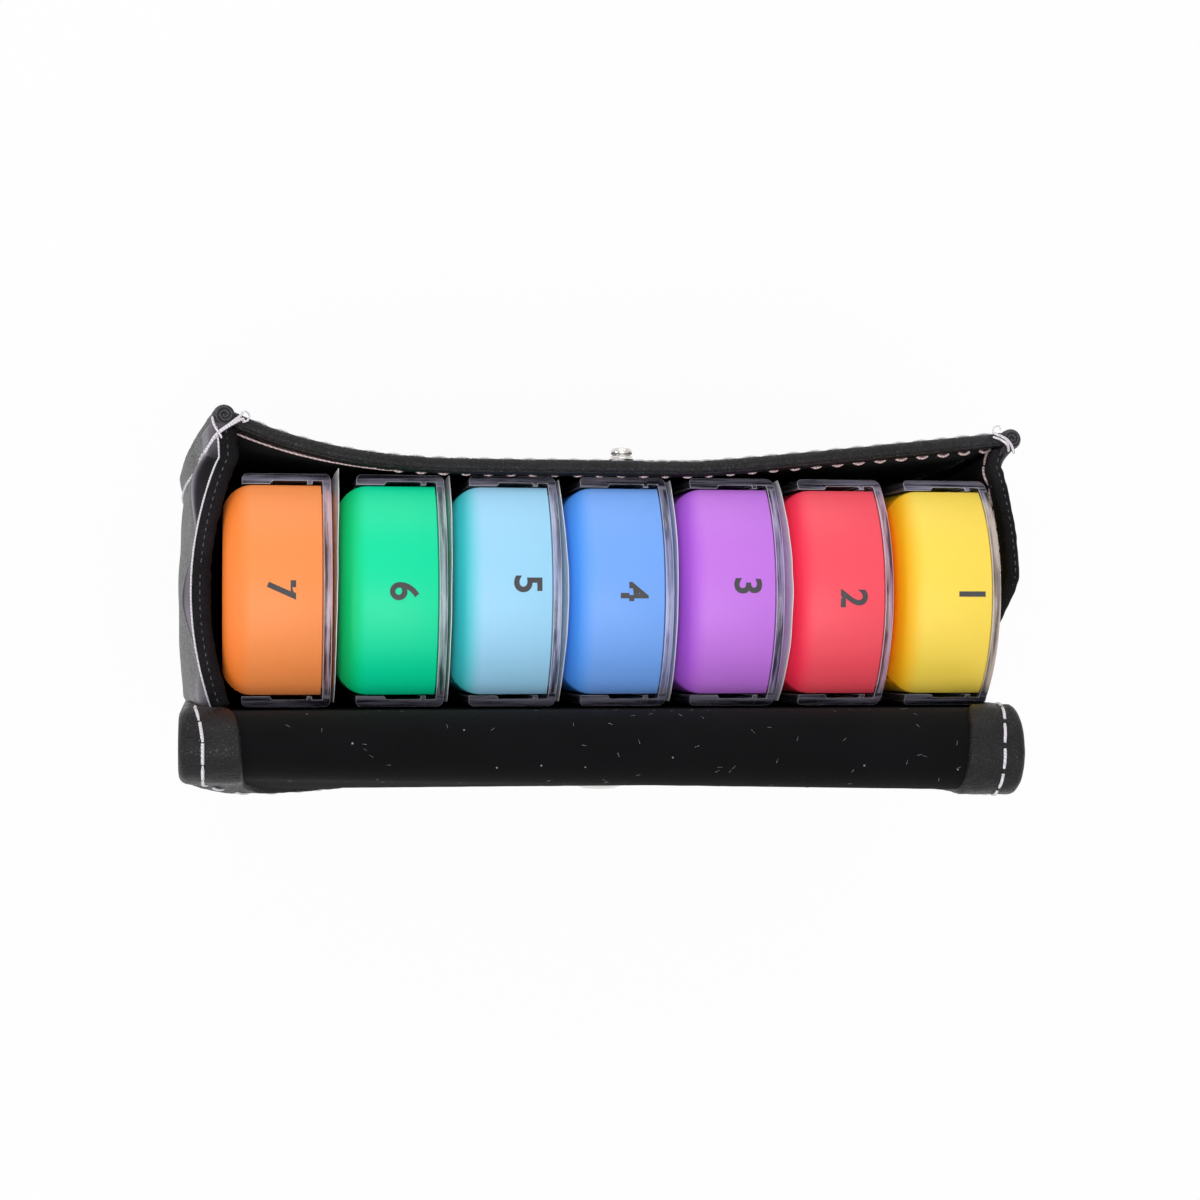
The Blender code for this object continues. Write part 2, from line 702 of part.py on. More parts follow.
def panel_outline(low, high):
    """The flap between its arch and its fold, as (x, z) from the arch's last hinge."""
    steps = [blend(low, high, step / TAPER_STEPS) for step in range(TAPER_STEPS + 1)]
    edge = [(flap_half(ARCH_REACH + z), z) for z in steps]
    return edge + [(-x, z) for x, z in reversed(edge)]


def tongue_outline(low, high):
    """The front of the flap, as (x, z) from its fold: it narrows to rounded corners."""
    round_centre = (TONGUE_HALF - TONGUE_ROUND, high - TONGUE_ROUND)
    corner = arc(round_centre, TONGUE_ROUND, 0, math.pi / 2, TAPER_STEPS)
    edge = [(FOLD_HALF, low)] + corner
    return edge + [(-x, z) for x, z in reversed(edge)]


def snap_reach():
    """Distance from the fold to the snap, so that the closed flap meets the stud."""
    return HINGE_Z - stud_seat().z


def stud_seat():
    """The point on the front's outer face where the stud sits."""
    height = RIM_Z - STUD_DROP
    rise = wall_rise(height)
    right, left = front_edges(1)
    across = (SNAP_X - right) / (left - right)
    spot = front_outer(across, rise)
    return Vector((SNAP_X, spot.y, height))


def build_flap(parts, cutters):
    """Arch strips, the panel over the mouth and the tongue with the snap's socket and cap."""
    last = build_arch(parts)
    bend = STRIP_BEND / 2
    trim = SEAT_GAP / 2
    mitre = WALL * math.tan(bend / 2)
    length = fold_reach() - ARCH_REACH
    tongue = snap_reach() + SNAP_TO_TIP
    skin = prism(panel_outline(trim + mitre, length - trim), LINING + SEAT_GAP, WALL, "XZ")
    suede = prism(panel_outline(trim, length - trim), 0, LINING, "XZ")
    top = place(
        "flap_panel", mesh_from(skin, "flap_panel"), LEATHER_BLACK, parts,
        (0, 0, STRIP_CHORD), -bend, last,
    )
    place("flap_lining", mesh_from(suede, "flap_lining"), SUEDE_BLACK, parts, parent=top)

    skin = prism(tongue_outline(trim, tongue), LINING + SEAT_GAP, WALL, "XZ")
    suede = prism(tongue_outline(trim, tongue), 0, LINING, "XZ")
    front = place(
        "flap_tongue", mesh_from(skin, "flap_tongue"), LEATHER_BLACK, parts, (0, 0, length),
        parent=top,
    )
    inner = place(
        "flap_tongue_lining", mesh_from(suede, "flap_tongue_lining"), SUEDE_BLACK, parts,
        parent=front,
    )
    hole = punch("socket_hole", POST_HOLE, (SNAP_X - FLAP_SHIFT, 0, snap_reach()), cutters)
    hole.parent = front
    combine(front, hole, "DIFFERENCE")
    combine(inner, hole, "DIFFERENCE")
    return front


def turned(name, profile, location, turn_x, parts, parent=None):
    """A turned metal piece: profile points (radius, height) run down its outer side."""
    bm = bmesh.new()
    verts = [bm.verts.new((radius, 0, height)) for radius, height in profile]
    for near, far in zip(verts, verts[1:]):
        bm.edges.new((near, far))
    mesh = bpy.data.meshes.new(name)
    bm.to_mesh(mesh)
    bm.free()
    obj = place(name, mesh, NICKEL, parts, location, turn_x, parent)
    screw = obj.modifiers.new("Turn", "SCREW")
    screw.steps = TURN_STEPS
    screw.render_steps = TURN_STEPS
    screw.use_merge_vertices = True
    screw.merge_threshold = MERGE
    screw.use_smooth_shade = True
    return obj


def stud_height():
    """The stud's height, so that it fills the socket when the flap is closed."""
    return stud_seat().y - fold_y() - SNAP_STACK


def build_snap(parts, tongue):
    """Stud and eyelet on the front, socket and cap on the tongue."""
    seat = stud_seat()
    tip = stud_height()
    dome_z = tip - STUD_DOME
    head_z = tip - STUD_BAND
    groove_z = FLANGE_THICK + (head_z - FLANGE_THICK) / 2
    collar_z = FLANGE_THICK * (1 + COLLAR_RISE_SHARE)
    stud = [
        (0, tip), (STUD_HEAD / 2, tip - STUD_DOME / 4), (STUD_HEAD, dome_z),
        (STUD_HEAD, head_z), (STUD_NECK, groove_z), (STUD_COLLAR, collar_z),
        (STUD_COLLAR, FLANGE_THICK), (STUD_FLANGE, FLANGE_THICK / 2), (STUD_FLANGE, 0),
        (POST + SEAT_GAP / 2, 0), (POST + SEAT_GAP / 2, FLANGE_THICK / 2), (0, FLANGE_THICK / 2),
    ]
    out = (0, -SEAT_GAP, 0)
    turned("snap_stud", stud, seat + Vector(out), math.pi / 2, parts)
    post_length = LEATHER + 2 * SEAT_GAP
    eyelet = [
        (0, post_length), (POST, post_length), (POST, 0), (EYELET, 0),
        (EYELET, -EYELET_THICK / 2), (EYELET - EYELET_THICK / 2, -EYELET_THICK),
        (0, -EYELET_THICK),
    ]
    inside = seat + Vector((0, LEATHER + SEAT_GAP, 0))
    turned("stud_eyelet", eyelet, inside, math.pi / 2, parts)

    socket = [
        (0, SOCKET_FLOOR), (SOCKET_BORE, SOCKET_FLOOR), (SOCKET_BORE, SOCKET_HEIGHT),
        (SOCKET_BORE + SOCKET_LIP, SOCKET_HEIGHT),
        (SOCKET - SOCKET_LIP, SOCKET_HEIGHT * SOCKET_SHOULDER_SHARE), (SOCKET, SOCKET_HEIGHT / 2),
        (SOCKET, 0), (0, 0),
    ]
    snap_x = SNAP_X - FLAP_SHIFT
    spot = (snap_x, -SEAT_GAP, snap_reach())
    turned("snap_socket", socket, spot, math.pi / 2, parts, tongue)
    cap = [
        (0, CAP_THICK), (CAP / 2, CAP_THICK * CAP_CROWN_SHARE),
        (CAP - CAP_EDGE, CAP_THICK * CAP_SHOULDER_SHARE), (CAP, CAP_EDGE), (CAP, 0), (POST, 0),
        (POST, -WALL - SEAT_GAP), (0, -WALL - SEAT_GAP),
    ]
    spot = (snap_x, WALL + SEAT_GAP, snap_reach())
    turned("snap_cap", cap, spot, -math.pi / 2, parts, tongue)


def build():
    """The whole organiser."""
    clear_scene()
    parts = new_collection("pill_organizer")
    cutters = new_collection("cutters")
    build_boxes(parts, cutters)
    build_pouch(parts, cutters)
    tongue = build_flap(parts, cutters)
    build_snap(parts, tongue)


build()
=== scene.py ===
"""Weekly pill organiser: looks of the seven daily boxes and of their leather pouch.

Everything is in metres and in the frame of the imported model: +Z up, the snap
towards -Y, the row of boxes along X with box 7 (orange) towards +X, and the
flap hanging behind the pouch, towards +Y.
"""

import json
import math
import random

import bmesh
import bpy
from mathutils import Matrix, Vector, noise


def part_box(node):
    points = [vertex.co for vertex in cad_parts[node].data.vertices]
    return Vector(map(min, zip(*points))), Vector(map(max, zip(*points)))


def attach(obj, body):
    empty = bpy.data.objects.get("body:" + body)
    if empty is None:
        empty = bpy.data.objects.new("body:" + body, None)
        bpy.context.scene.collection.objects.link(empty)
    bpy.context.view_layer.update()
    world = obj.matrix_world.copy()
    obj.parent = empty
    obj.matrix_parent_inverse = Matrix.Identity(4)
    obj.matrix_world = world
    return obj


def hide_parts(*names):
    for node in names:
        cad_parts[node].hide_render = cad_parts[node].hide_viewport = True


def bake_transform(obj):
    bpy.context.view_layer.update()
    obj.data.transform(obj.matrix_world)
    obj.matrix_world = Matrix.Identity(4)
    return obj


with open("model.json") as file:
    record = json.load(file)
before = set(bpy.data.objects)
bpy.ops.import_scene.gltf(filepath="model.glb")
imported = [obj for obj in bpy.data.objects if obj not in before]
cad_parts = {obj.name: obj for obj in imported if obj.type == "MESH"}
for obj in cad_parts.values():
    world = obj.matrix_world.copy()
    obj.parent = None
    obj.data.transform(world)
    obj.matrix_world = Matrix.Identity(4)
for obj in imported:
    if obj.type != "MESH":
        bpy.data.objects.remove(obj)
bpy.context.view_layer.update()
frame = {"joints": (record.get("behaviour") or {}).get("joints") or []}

MM = 0.001

# Boxes, from the frame: box 4 stands in the middle of the row
BOX_NUMBERS = (1, 2, 3, 4, 5, 6, 7)
FILMED_BOXES = (3, 4, 5, 6, 7)
TRAY_LOW, TRAY_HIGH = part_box("tray_4")
COVER_LOW, COVER_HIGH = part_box("cover_4")
BOX_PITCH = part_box("tray_5")[0].x - TRAY_LOW.x
ROW_HALF = len(BOX_NUMBERS) * BOX_PITCH / 2
BOX_SEAT = TRAY_LOW.z
CROWN_Z = TRAY_HIGH.z
BOX_LENGTH = CROWN_Z - BOX_SEAT
FLOOR_X = TRAY_HIGH.x
RIM_X = TRAY_LOW.x
LID_X = COVER_LOW.x
COVER_HALF = COVER_HIGH.y
EAR_REACH = 0.7 * MM
TRAY_HALF = TRAY_HIGH.y - EAR_REACH
TRAY_WALL = 1.5 * MM
FLOOR_ROUND = 5.6 * MM
BOW_ANGLE = math.radians(53)
BOW_RADIUS = COVER_HALF / math.sin(BOW_ANGLE)
BOW_STEPS = 40
ROUND_STEPS = 8
CELL_COUNT = 4
DIVIDER = 1.2 * MM
DIVIDER_DROP = 0.8 * MM
EAR_THICK = 1.3 * MM
SLIDE_GAP = 0.3 * MM
EDGE_SOFT = 0.22 * MM     # rounding of moulded edges
CUT_OVERRUN = 2.0 * MM
MERGE = 0.005 * MM

# Clear covers and the films on them
PLATE = 1.6 * MM
SKIRT = 1.5 * MM
SKIRT_DEPTH = COVER_HIGH.x - LID_X
SKIRT_ROUND = 1.2 * MM
RIB_THICK = 1.0 * MM
HOOK_LENGTH = 5.4 * MM
HOOK_CHAMFER = 0.5 * MM
FILM = 0.12 * MM

# Pouch
LEATHER = 1.2 * MM
SEAM_GAP = 0.3 * MM
LINING = 1.0 * MM
WALL = LEATHER + SEAM_GAP + LINING
BASE_LOW, BASE_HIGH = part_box("base_panel")
RIM_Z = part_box("front_hem")[1].z
HEM_HEIGHT = RIM_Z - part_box("front_hem")[0].z
HEM_THICK = 3.0 * MM
WALL_FOOT = BASE_HIGH.z + SEAM_GAP
FOOT_HALF = BASE_HIGH.x
FOOT_FRONT = -BASE_LOW.y
BACK_OUTER = BASE_HIGH.y
BACK_INNER = BACK_OUTER - WALL
MOUTH_FRONT = COVER_HALF + 0.3 * MM + WALL
WELT_RADIUS = 2.1 * MM
WELT_CLEAR = WELT_RADIUS + SEAM_GAP
LEAN_POWER = 2.0

# The mouth: the front flares out at its ends, and the sides bulge between pinches
FLARES = {1: (20.0 * MM, 9.8 * MM, 3.0), -1: (16.0 * MM, 6.3 * MM, 1.1)}
CORNERS = {1: ROW_HALF + 0.2 * MM, -1: ROW_HALF + 5.1 * MM}
PINCHES = {1: ROW_HALF - 0.6 * MM, -1: ROW_HALF + 1.6 * MM}
BULGES = {1: 5.2 * MM, -1: 4.0 * MM}
PINCH_FRONT = 25.0 * MM
CORNER_POWER = 2.0
BULGE_POWER = 0.8

# Flap
JOINTS = {joint["name"]: joint for joint in frame["joints"]}
FLAP_SHIFT, HINGE_Y, HINGE_Z = JOINTS["flap_hinge"]["pos_m"]
ARCH_RADIUS = (JOINTS["arch_end_bend"]["pos_m"][1] - HINGE_Y) / 2
FOLD_Z = JOINTS["flap_fold"]["pos_m"][2]
ARCH_LENGTH = math.pi * ARCH_RADIUS
FLAT_LENGTH = HINGE_Z - FOLD_Z
TONGUE_LENGTH = FOLD_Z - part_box("flap_tongue")[0].z
FLAP_HALF = (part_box("flap_bend_1")[1].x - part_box("flap_bend_1")[0].x) / 2
FOLD_HALF = 57.0 * MM
TONGUE_HALF = 53.0 * MM
TONGUE_ROUND = 14.0 * MM
HEM_RAISE = 0.9 * MM
FLAP_SETTLE = 0.6 * MM    # how far the soft flap lies off its hinges' middle


def blend(low, high, share):
    """The value that lies a share of the way from low to high."""
    return low + (high - low) * share


def ramp(value, low, high):
    """A smooth step from 0 at low to 1 at high."""
    share = min(max((value - low) / (high - low), 0.0), 1.0)
    return share * share * (3 - 2 * share)


def arc(centre, radius, start, end, steps):
    """Points along an arc, both ends included."""
    angles = [blend(start, end, step / steps) for step in range(steps + 1)]
    return [(centre[0] + radius * math.cos(a), centre[1] + radius * math.sin(a)) for a in angles]


def shares(count, edge=0.0, edge_steps=0):
    """Shares from 0 to 1 in equal steps, with extra ones close to both ends."""
    inner = [step / count for step in range(count + 1)]
    if not edge_steps:
        return inner
    close = [edge * (1 - math.cos(math.pi / 2 * step / edge_steps)) for step in range(edge_steps)]
    middle = [share for share in inner if edge <= share <= 1 - edge]
    return close + middle + [1 - share for share in reversed(close)]


# Materials

def new_material(name):
    """A material with its shader: (material, node tree, Principled BSDF)."""
    material = bpy.data.materials.new(name)
    material.use_nodes = True
    tree = material.node_tree
    return material, tree, tree.nodes["Principled BSDF"]


def linear(red, green, blue):
    """A colour given as 0 to 255 screen values, as scene-linear RGBA."""
    def channel(value):
        value = value / 255
        return value / 12.92 if value <= 0.04045 else ((value + 0.055) / 1.055) ** 2.4
    return (channel(red), channel(green), channel(blue), 1.0)


def add_node(tree, kind, inputs=None, **settings):
    """A node with its settings, and its inputs set to values or linked to outputs."""
    node = tree.nodes.new(kind)
    for name, value in settings.items():
        setattr(node, name, value)
    for name, value in (inputs or {}).items():
        if isinstance(value, bpy.types.NodeSocket):
            tree.links.new(value, node.inputs[name])
        else:
            node.inputs[name].default_value = value
    return node


def math_node(tree, operation, first, second=0.0, clamp=False):
    """The output of a Math node on two values or outputs."""
    node = add_node(tree, "ShaderNodeMath", {0: first, 1: second}, operation=operation)
    node.use_clamp = clamp
    return node.outputs[0]


def colour_mix(tree, share, first, second):
    """The output of a colour mix by a value or an output."""
    node = add_node(tree, "ShaderNodeMix", data_type="RGBA")
    for index, value in ((0, share), (6, first), (7, second)):
        if isinstance(value, bpy.types.NodeSocket):
            tree.links.new(value, node.inputs[index])
        else:
            node.inputs[index].default_value = value
    return node.outputs[2]


def spread(tree, value, low, high):
    """A value between 0 and 1 brought to the range from low to high."""
    node = add_node(tree, "ShaderNodeMapRange", {"Value": value, "To Min": low, "To Max": high})
    return node.outputs["Result"]


def new_group(name, inputs, outputs):
    """An empty shader group: (group, its inputs by name, link from an output to one of its outputs)."""
    group = bpy.data.node_groups.new(name, "ShaderNodeTree")
    for label, default in inputs.items():
        kind = "NodeSocketFloat" if isinstance(default, float) else "NodeSocketVector"
        socket = group.interface.new_socket(label, in_out="INPUT", socket_type=kind)
        if isinstance(default, float):
            socket.default_value = default
    for label in outputs:
        group.interface.new_socket(label, in_out="OUTPUT", socket_type="NodeSocketFloat")
    enter = group.nodes.new("NodeGroupInput")
    leave = group.nodes.new("NodeGroupOutput")
    return group, enter.outputs, lambda value, label: group.links.new(value, leave.inputs[label])


def place_group(tree, group, inputs):
    """A group placed in a material with its own values: its outputs."""
    node = tree.nodes.new("ShaderNodeGroup")
    node.node_tree = group
    for name, value in inputs.items():
        if isinstance(value, bpy.types.NodeSocket):
            tree.links.new(value, node.inputs[name])
        else:
            node.inputs[name].default_value = value
    return node.outputs


def grain_group():
    """Pebbled leather: small cells with soft valleys, crossed by finer wrinkles."""
    group, inputs, leave = new_group(
        "Leather grain", {"Place": None, "Scale": 900.0, "Wrinkle": 0.5}, ("Height", "Valley")
    )
    warp = add_node(group, "ShaderNodeTexNoise", {
        "Vector": inputs["Place"], "Scale": 240.0, "Detail": 3.0, "Roughness": 0.6,
    })
    pull = add_node(group, "ShaderNodeVectorMath", {0: warp.outputs["Color"], "Scale": 0.0022}, operation="SCALE")
    moved = add_node(group, "ShaderNodeVectorMath", {0: inputs["Place"], 1: pull.outputs[0]}, operation="ADD")
    cells = add_node(group, "ShaderNodeTexVoronoi", {
        "Vector": moved.outputs[0], "Scale": inputs["Scale"], "Randomness": 1.0,
    }, feature="DISTANCE_TO_EDGE")
    valley = math_node(group, "MULTIPLY", cells.outputs["Distance"], 5.0, clamp=True)
    wrinkles = add_node(group, "ShaderNodeTexNoise", {
        "Vector": moved.outputs[0], "Scale": 420.0, "Detail": 5.0, "Roughness": 0.7, "Distortion": 0.6,
    })
    fold = math_node(group, "MULTIPLY", wrinkles.outputs["Fac"], inputs["Wrinkle"])
    leave(math_node(group, "ADD", valley, fold), "Height")
    leave(valley, "Valley")
    return group


def dust_group():
    """Specks of lint and light wear: two masks."""
    group, inputs, leave = new_group(
        "Dust and wear", {"Place": None, "Speck scale": 700.0, "Amount": 0.5}, ("Specks", "Wear")
    )
    cells = add_node(group, "ShaderNodeTexVoronoi", {
        "Vector": inputs["Place"], "Scale": inputs["Speck scale"], "Randomness": 1.0,
    })
    near = math_node(group, "LESS_THAN", cells.outputs["Distance"], 0.09)
    sparse = math_node(group, "GREATER_THAN", add_node(
        group, "ShaderNodeSeparateColor", {"Color": cells.outputs["Color"]}
    ).outputs[0], math_node(group, "SUBTRACT", 1.0, math_node(group, "MULTIPLY", inputs["Amount"], 0.2)))
    leave(math_node(group, "MULTIPLY", near, sparse), "Specks")
    patches = add_node(group, "ShaderNodeTexNoise", {
        "Vector": inputs["Place"], "Scale": 55.0, "Detail": 6.0, "Roughness": 0.65,
    })
    leave(add_node(group, "ShaderNodeMapRange", {
        "Value": patches.outputs["Fac"], "From Min": 0.45, "From Max": 0.75,
    }).outputs["Result"], "Wear")
    return group


def object_place(tree):
    """The point being shaded, in the object's own coordinates."""
    return tree.nodes.new("ShaderNodeTexCoord").outputs["Object"]


def bumped(tree, shader, height, strength, distance):
    """Give a shader a bump from a height."""
    bump = add_node(tree, "ShaderNodeBump", {"Height": height, "Strength": strength, "Distance": distance})
    tree.links.new(bump.outputs["Normal"], shader.inputs["Normal"])


def leather_material(grain, dust, name, pebble, polish, shine):
    """Black coated leather: pebble is the depth of its grain, polish its least roughness. Where a mesh carries it,
    a painted highlight of pale lilac-grey is mixed into the colour.
    """
    material, tree, shader = new_material(name)
    place = object_place(tree)
    grain_out = place_group(tree, grain, {"Place": place, "Scale": 1500.0, "Wrinkle": 0.9})
    dust_out = place_group(tree, dust, {"Place": place, "Speck scale": 600.0, "Amount": 0.25})
    worn = colour_mix(tree, dust_out["Wear"], (0.006, 0.0055, 0.0065, 1), (0.016, 0.014, 0.017, 1))
    speckled = colour_mix(tree, dust_out["Specks"], worn, (0.30, 0.28, 0.31, 1))
    # Painted highlight: the mesh's attribute mixes a pale lilac-grey into the colour where light falls on the
    # gussets' folds.
    scuff = add_node(tree, "ShaderNodeAttribute", attribute_name="scuff").outputs["Fac"]
    painted_gleam = colour_mix(tree, scuff, speckled, (0.36, 0.32, 0.39, 1))
    tree.links.new(painted_gleam, shader.inputs["Base Color"])
    tree.links.new(spread(tree, grain_out["Valley"], polish + 0.2, polish), shader.inputs["Roughness"])
    shader.inputs["Specular IOR Level"].default_value = shine
    bumped(tree, shader, grain_out["Height"], pebble, 0.00012)
    return material


def suede_material(dust):
    """Black suede with a short nap and a little lint."""
    material, tree, shader = new_material("black suede")
    place = object_place(tree)
    nap = add_node(tree, "ShaderNodeTexNoise", {
        "Vector": place, "Scale": 2600.0, "Detail": 4.0, "Roughness": 0.75,
    })
    brushed = add_node(tree, "ShaderNodeTexNoise", {
        "Vector": place, "Scale": 90.0, "Detail": 5.0, "Roughness": 0.6, "Distortion": 0.4,
    })
    dust_out = place_group(tree, dust, {"Place": place, "Speck scale": 480.0, "Amount": 0.35})
    tone = colour_mix(tree, brushed.outputs["Fac"], (0.0022, 0.0022, 0.0026, 1), (0.006, 0.006, 0.007, 1))
    pile = colour_mix(tree, math_node(tree, "MULTIPLY", nap.outputs["Fac"], 0.5), tone, (0.009, 0.009, 0.010, 1))
    speckled = colour_mix(tree, dust_out["Specks"], pile, (0.30, 0.29, 0.30, 1))
    tree.links.new(speckled, shader.inputs["Base Color"])
    shader.inputs["Roughness"].default_value = 0.95
    shader.inputs["Specular IOR Level"].default_value = 0.06
    shader.inputs["Sheen Weight"].default_value = 0.03
    shader.inputs["Sheen Roughness"].default_value = 0.5
    bumped(tree, shader, nap.outputs["Fac"], 0.6, 0.00025)
    return material


def plastic_material(name, colour, floor_shade, floor_x):
    """Satin moulded plastic, with painted shade: the colour turns deeper and darker towards the tray's rounded
    floor.
    """
    material, tree, shader = new_material(name)
    place = object_place(tree)
    across = add_node(tree, "ShaderNodeSeparateXYZ", {"Vector": place}).outputs["X"]
    # Painted shade: over the last few millimetres before the rounded floor the colour turns to its darker tone.
    depth = add_node(tree, "ShaderNodeMapRange", {
        "Value": across, "From Min": floor_x - 6.0 * MM, "From Max": floor_x - 1.5 * MM,
    }, interpolation_type="SMOOTHSTEP").outputs["Result"]
    tree.links.new(colour_mix(tree, depth, colour, floor_shade), shader.inputs["Base Color"])
    grain = add_node(tree, "ShaderNodeTexNoise", {"Vector": place, "Scale": 3800.0, "Detail": 3.0})
    smears = add_node(tree, "ShaderNodeTexNoise", {"Vector": place, "Scale": 120.0, "Detail": 4.0})
    tree.links.new(spread(tree, smears.outputs["Fac"], 0.36, 0.46), shader.inputs["Roughness"])
    shader.inputs["Specular IOR Level"].default_value = 0.3
    shader.inputs["Subsurface Weight"].default_value = 0.1
    shader.inputs["Subsurface Radius"].default_value = (1.0, 0.6, 0.5)
    shader.inputs["Subsurface Scale"].default_value = 0.0012
    bumped(tree, shader, grain.outputs["Fac"], 0.1, 0.00006)
    return material


def clear_material():
    """Clear moulded plastic, faintly violet and wavy."""
    material, tree, shader = new_material("clear plastic")
    place = object_place(tree)
    ripple = add_node(tree, "ShaderNodeTexNoise", {"Vector": place, "Scale": 160.0, "Detail": 2.0})
    shader.inputs["Base Color"].default_value = (0.86, 0.85, 0.95, 1)
    shader.inputs["Transmission Weight"].default_value = 0.93
    shader.inputs["IOR"].default_value = 1.46
    tree.links.new(spread(tree, ripple.outputs["Fac"], 0.02, 0.06), shader.inputs["Roughness"])
    bumped(tree, shader, ripple.outputs["Fac"], 0.15, 0.0001)
    return material


def clear_end_material():
    """A cover's cut ends: the same plastic with painted reflection and shade, in long streaks from near black to
    pale violet.
    """
    material, tree, shader = new_material("clear plastic ends")
    place = object_place(tree)
    streaks = streak_noise(tree, place)
    # Painted reflection and shade: the streaks turn the ends' colour from near black to pale violet.
    tint = colour_mix(tree, streaks, (0.06, 0.06, 0.09, 1), (0.74, 0.70, 0.92, 1))
    tree.links.new(tint, shader.inputs["Base Color"])
    shader.inputs["Transmission Weight"].default_value = 0.6
    shader.inputs["IOR"].default_value = 1.46
    shader.inputs["Roughness"].default_value = 0.12
    bumped(tree, shader, streaks, 0.3, 0.0001)
    return material


def streak_noise(tree, place):
    """Long streaks, along Y in the plate and along X in the skirts, from dark to light."""
    streaks = []
    for stretch in ((1100.0, 45.0, 120.0), (45.0, 1100.0, 120.0)):
        long = add_node(tree, "ShaderNodeVectorMath", {0: place, 1: stretch}, operation="MULTIPLY")
        streaks.append(add_node(tree, "ShaderNodeTexNoise", {
            "Vector": long.outputs[0], "Scale": 1.0, "Detail": 3.0, "Roughness": 0.6,
        }).outputs["Fac"])
    sideways = math_node(tree, "ABSOLUTE", add_node(tree, "ShaderNodeSeparateXYZ", {"Vector": place}).outputs["Y"])
    skirt = math_node(tree, "GREATER_THAN", sideways, TRAY_HALF)
    either = add_node(tree, "ShaderNodeMix", {0: skirt, 2: streaks[0], 3: streaks[1]})
    sharpened = add_node(tree, "ShaderNodeMapRange", {
        "Value": either.outputs[0], "From Min": 0.40, "From Max": 0.58,
    })
    return sharpened.outputs["Result"]


def clear_edge_material():
    """The rounded edges of clear plastic, with a painted highlight: a pale colour for the light that they gather.
    """
    material, tree, shader = new_material("clear plastic edges")
    place = object_place(tree)
    ripple = add_node(tree, "ShaderNodeTexNoise", {"Vector": place, "Scale": 500.0, "Detail": 3.0})
    # Painted highlight: a pale, uneven colour on the rounded edges.
    tint = colour_mix(tree, ripple.outputs["Fac"], (0.62, 0.60, 0.72, 1), (0.95, 0.94, 0.98, 1))
    tree.links.new(tint, shader.inputs["Base Color"])
    shader.inputs["Transmission Weight"].default_value = 0.3
    shader.inputs["IOR"].default_value = 1.46
    shader.inputs["Roughness"].default_value = 0.25
    return material


def film_material():
    """Thin milky film, denser where it is creased."""
    material, tree, shader = new_material("milky film")
    place = object_place(tree)
    crease_noise = add_node(tree, "ShaderNodeTexNoise", {
        "Vector": place, "Scale": 160.0, "Detail": 6.0, "Roughness": 0.7, "Distortion": 1.2,
    })
    shader.inputs["Base Color"].default_value = (0.92, 0.93, 0.97, 1)
    shader.inputs["Roughness"].default_value = 0.25
    tree.links.new(spread(tree, crease_noise.outputs["Fac"], 0.55, 0.95), shader.inputs["Alpha"])
    bumped(tree, shader, crease_noise.outputs["Fac"], 0.5, 0.0003)
    return material


def thread_material(name, dark, light):
    """Sewing thread with its twist."""
    material, tree, shader = new_material(name)
    place = object_place(tree)
    twist = add_node(tree, "ShaderNodeTexWave", {
        "Vector": place, "Scale": 900.0, "Distortion": 2.0, "Detail": 2.0,
    }, bands_direction="DIAGONAL")
    tree.links.new(colour_mix(tree, twist.outputs["Fac"], dark, light), shader.inputs["Base Color"])
    shader.inputs["Roughness"].default_value = 0.7
    shader.inputs["Sheen Weight"].default_value = 0.1
    bumped(tree, shader, twist.outputs["Fac"], 0.5, 0.0001)
    return material


def nickel_material(dust):
    """Plated metal, with faint smears and tarnish."""
    material, tree, shader = new_material("plated nickel")
    place = object_place(tree)
    dust_out = place_group(tree, dust, {"Place": place, "Speck scale": 500.0, "Amount": 0.1})
    smears = add_node(tree, "ShaderNodeTexNoise", {"Vector": place, "Scale": 700.0, "Detail": 5.0})
    tint = colour_mix(tree, dust_out["Wear"], (0.74, 0.72, 0.70, 1), (0.58, 0.54, 0.50, 1))
    tree.links.new(tint, shader.inputs["Base Color"])
    tree.links.new(spread(tree, smears.outputs["Fac"], 0.14, 0.30), shader.inputs["Roughness"])
    shader.inputs["Metallic"].default_value = 1.0
    bumped(tree, shader, smears.outputs["Fac"], 0.1, 0.00005)
    return material


def ink_material():
    """Dark printing ink, a little uneven."""
    material, tree, shader = new_material("dark ink")
    place = object_place(tree)
    uneven = add_node(tree, "ShaderNodeTexNoise", {"Vector": place, "Scale": 900.0, "Detail": 4.0})
    tint = colour_mix(tree, uneven.outputs["Fac"], (0.030, 0.028, 0.034, 1), (0.052, 0.048, 0.055, 1))
    tree.links.new(tint, shader.inputs["Base Color"])
    shader.inputs["Roughness"].default_value = 0.5
    return material


# Tray colours on screen: the body, and the deeper, darker tone painted as shade along its floor side
TRAY_COLOURS = {
    1: ((255, 222, 88), (255, 190, 20)),
    2: ((252, 84, 100), (255, 50, 85)),
    3: ((200, 122, 232), (180, 95, 225)),
    4: ((120, 172, 250), (80, 160, 255)),
    5: ((160, 216, 248), (60, 205, 210)),
    6: ((0, 226, 164), (0, 205, 120)),
    7: ((255, 150, 82), (255, 133, 50)),
}


